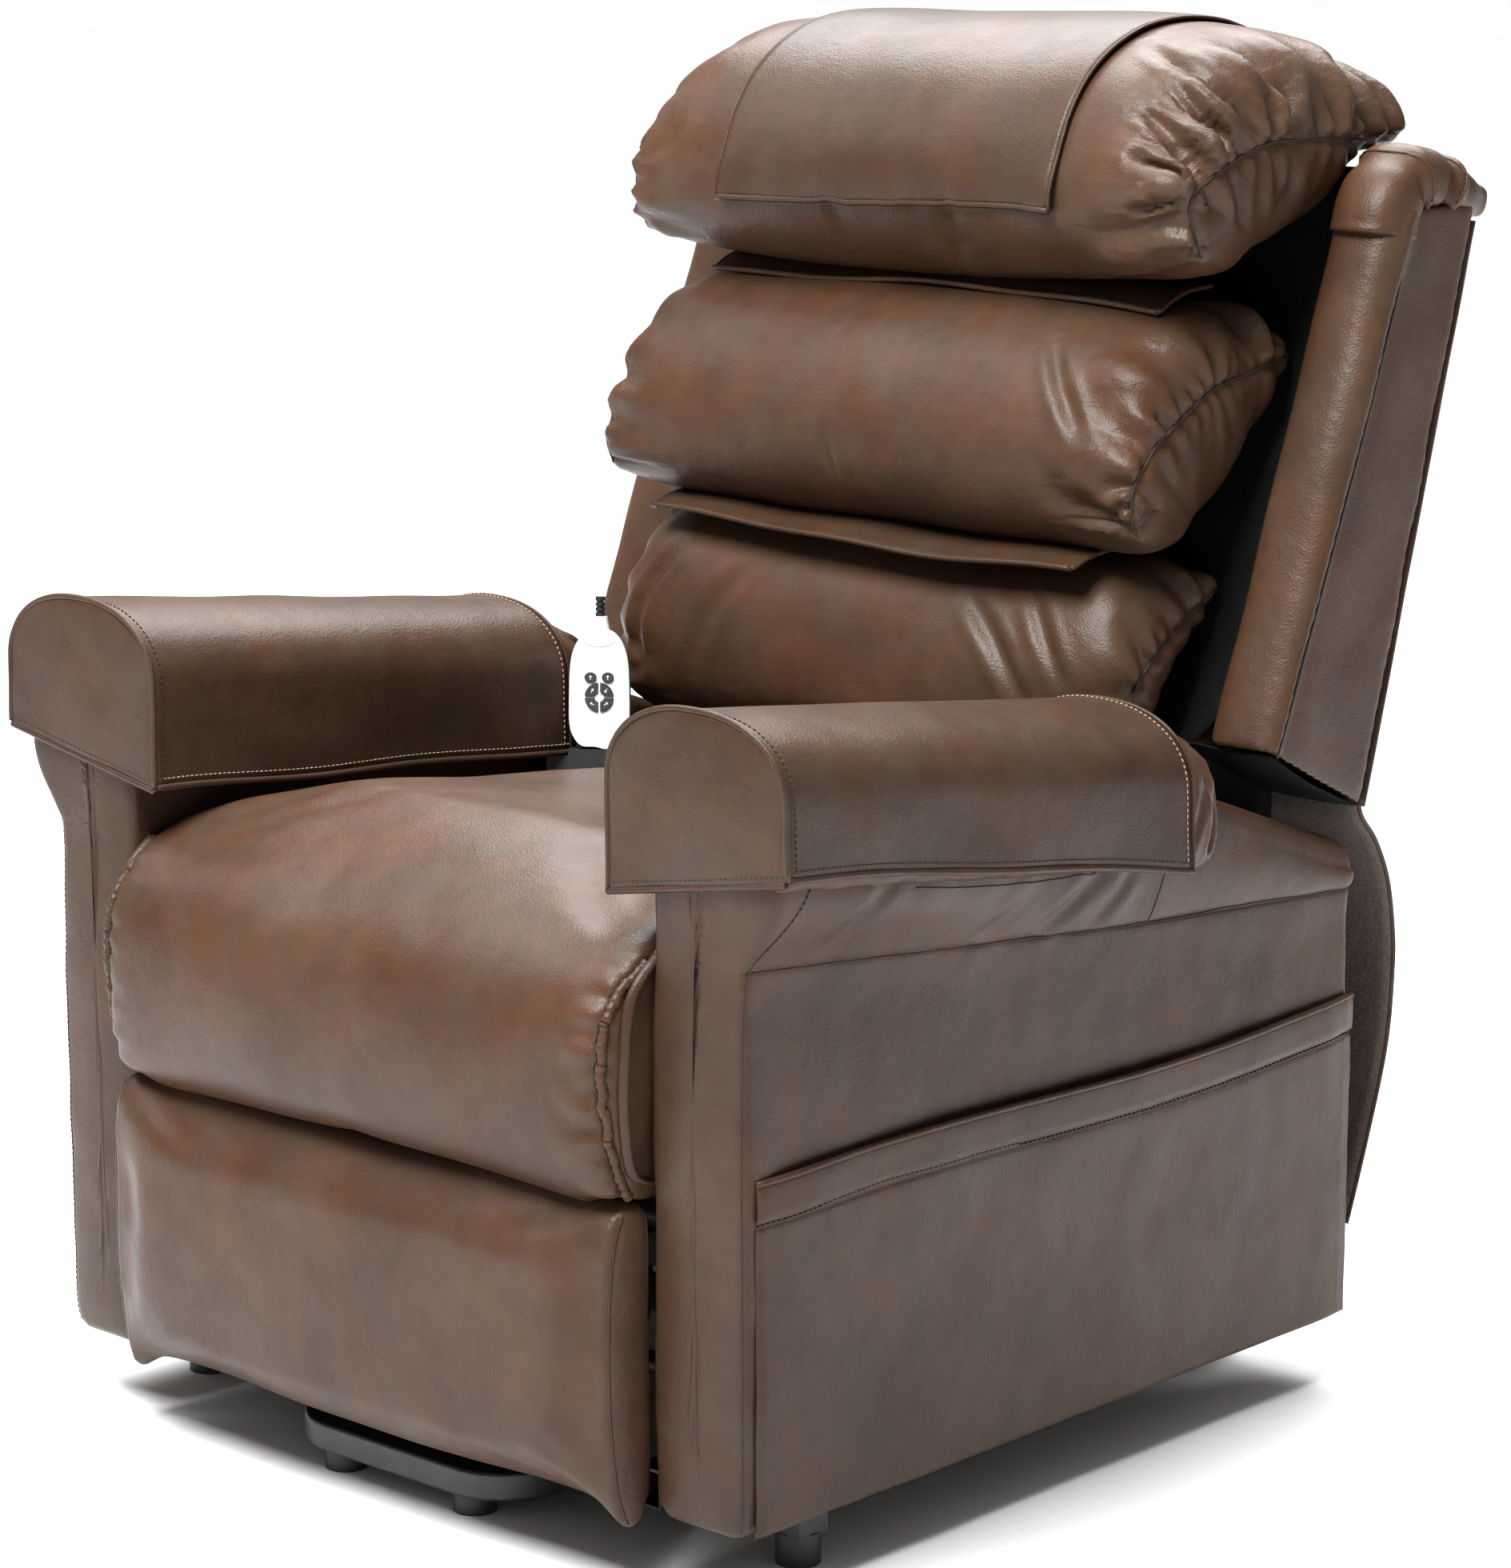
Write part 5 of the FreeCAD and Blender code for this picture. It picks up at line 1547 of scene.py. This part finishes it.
# ---- rear curtain -------------------------------------------------------------------------------
def rear_curtain():
    line = side_curve([
        (0.3035, 0.475), (0.309, 0.450), (0.328, 0.426), (0.345, 0.391), (0.354, 0.350), (0.356, 0.318),
        (0.351, 0.257), (0.330, 0.185), (0.304, 0.118),
    ], 61)

    def place(u, v):
        p = line[int(round(v * 60))]
        x = -0.348 + 0.696 * u
        loose = ease(min(v, 1 - v) * 4)
        fold = 0.0030 * math.sin(x * 21.0 + 3.0 * v) * loose
        return Vector((x, p.y + fold, p.z))

    piece = sheet_grid("rear_curtain_cloth", 60, 70, place, HIDE_PANEL, "curtain_cloth")
    piece.data.materials.append(GREY_CLOTH)
    uneven(piece, 0.0020, 18.0, 6.0)
    surface = tree_of(piece)
    thickened(piece, 0.0022, -1.0, 1)
    trims = []
    for label, u in (("left", 1.0), ("right", 0.0)):
        edge = [place(u, k / 60) for k in range(61)]
        row = [place(abs(u - 0.016), k / 60) for k in range(61)]
        trims.append(welt("curtain_edge_" + label, edge, 0.0022, HIDE_PANEL, "curtain_cloth", None))
        trims.append(stitches("curtain_stitch_" + label, row, surface, TAN_THREAD, None, lift=0.0006))
    for item in [piece] + trims:
        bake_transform(item)
    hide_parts("rear_curtain")


# ---- handset marks ------------------------------------------------------------------------------
def handset_marks():
    """Plain arrow marks on the buttons, and the raised arc near the handset's neck."""
    turn = math.radians(40.0)
    lean = math.radians(-7.0)
    foot = Vector((-0.208, 0.030, 0.469))

    def placed(x, y, z):
        y, z = y * math.cos(lean) - z * math.sin(lean), y * math.sin(lean) + z * math.cos(lean)
        x, y = x * math.cos(turn) - y * math.sin(turn), x * math.sin(turn) + y * math.cos(turn)
        return foot + Vector((x, y, z))

    face = -0.01275
    ring = 0.041
    places = {
        1: (-0.0070, 0.0570, 90), 2: (0.0070, 0.0570, 90), 3: (-0.0056, ring + 0.0054, 60),
        4: (0.0056, ring + 0.0054, 240), 5: (-0.0056, ring - 0.0054, 150), 6: (0.0056, ring - 0.0054, 30),
    }
    arrow = [(-0.0019, -0.0003), (0.0004, -0.0003), (0.0004, -0.0013), (0.0021, 0.0), (0.0004, 0.0013),
             (0.0004, 0.0003), (-0.0019, 0.0003)]
    for index, (x, z, angle) in places.items():
        c, s = math.cos(math.radians(angle)), math.sin(math.radians(angle))
        front = [placed(x + a * c - b * s, face, z + a * s + b * c) for a, b in arrow]
        back = [placed(x + a * c - b * s, face + 0.0004, z + a * s + b * c) for a, b in arrow]
        count = len(arrow)
        faces = [tuple(range(count)), tuple(range(2 * count - 1, count - 1, -1))]
        faces += [(k, k + count, (k + 1) % count + count, (k + 1) % count) for k in range(count)]
        mark = add_piece("button_mark_" + str(index), front + back, faces, PRINT, "white_plastic",
                         "handset_button_" + str(index))
        mark.data.polygons.foreach_set("use_smooth", [False] * len(mark.data.polygons))
    arc = []
    for k in range(17):
        angle = math.radians(205 + 130 * k / 16.0)
        arc.append(placed(0.014 * math.cos(angle), -0.0110, 0.0900 + 0.008 * math.sin(angle)))
    welt("handset_face_arc", arc, 0.0004, WHITE_PLASTIC, "white_plastic", "handset", 6)


# ---- floor and light ----------------------------------------------------------------------------
def studio():
    material, tree, shader, place = start_material("pale_floor", 0.85)
    tone = ramp(tree, noise_at(tree, place, 3.0), [(0.3, (0.86, 0.86, 0.86)), (0.7, (0.90, 0.90, 0.90))])
    tree.links.new(tone, shader.inputs["Base Color"])
    mesh = bpy.data.meshes.new("floor")
    size = 45.0
    corners = [(-size, -size, 0), (size, -size, 0), (size, size, 0), (-size, size, 0)]
    mesh.from_pydata(corners, [], [(0, 1, 2, 3)])
    mesh.materials.append(material)
    floor = bpy.data.objects.new("floor", mesh)
    scene.collection.objects.link(floor)
    world = bpy.data.worlds.new("studio")
    world.use_nodes = True
    background = world.node_tree.nodes["Background"]
    background.inputs["Color"].default_value = (1.0, 1.0, 1.0, 1.0)
    background.inputs["Strength"].default_value = 0.26
    scene.world = world
    scene.view_settings.view_transform = "Standard"
    lights = (
        ("overhead", (-0.9, 1.4, 2.9), (0.0, 0.0, 0.5), 2.4, 150.0),
        ("key", (0.2, -1.4, 2.85), (0.0, -0.1, 0.6), 1.3, 165.0),
        ("left_front", (-2.4, -1.0, 2.9), (0.0, 0.0, 0.6), 1.6, 20.0),
    )
    sun = bpy.data.lights.new("sky_light", "SUN")
    sun.energy = 2.9
    sun.angle = math.radians(60.0)
    lamp = bpy.data.objects.new("sky_light", sun)
    scene.collection.objects.link(lamp)
    lamp.rotation_euler = Vector((-0.25, 0.10, 1.0)).to_track_quat("Z", "Y").to_euler()
    for name, place, aim, size, power in lights:
        data = bpy.data.lights.new(name, "AREA")
        data.size = size
        data.energy = power
        lamp = bpy.data.objects.new(name, data)
        scene.collection.objects.link(lamp)
        lamp.location = place
        lamp.rotation_euler = (Vector(place) - Vector(aim)).to_track_quat("Z", "Y").to_euler()


dress_cad_nodes()
head_cover(back_pillows())
flaps()
back_lining()
back_cover()
dust_covers()
back_straps()
back_top_band()
wings()
seat_cushion()
seat_gussets()
footrest()
arm_cover()
side_pockets()
arm_pads()
arm_caps()
rear_curtain()
handset_marks()
studio()
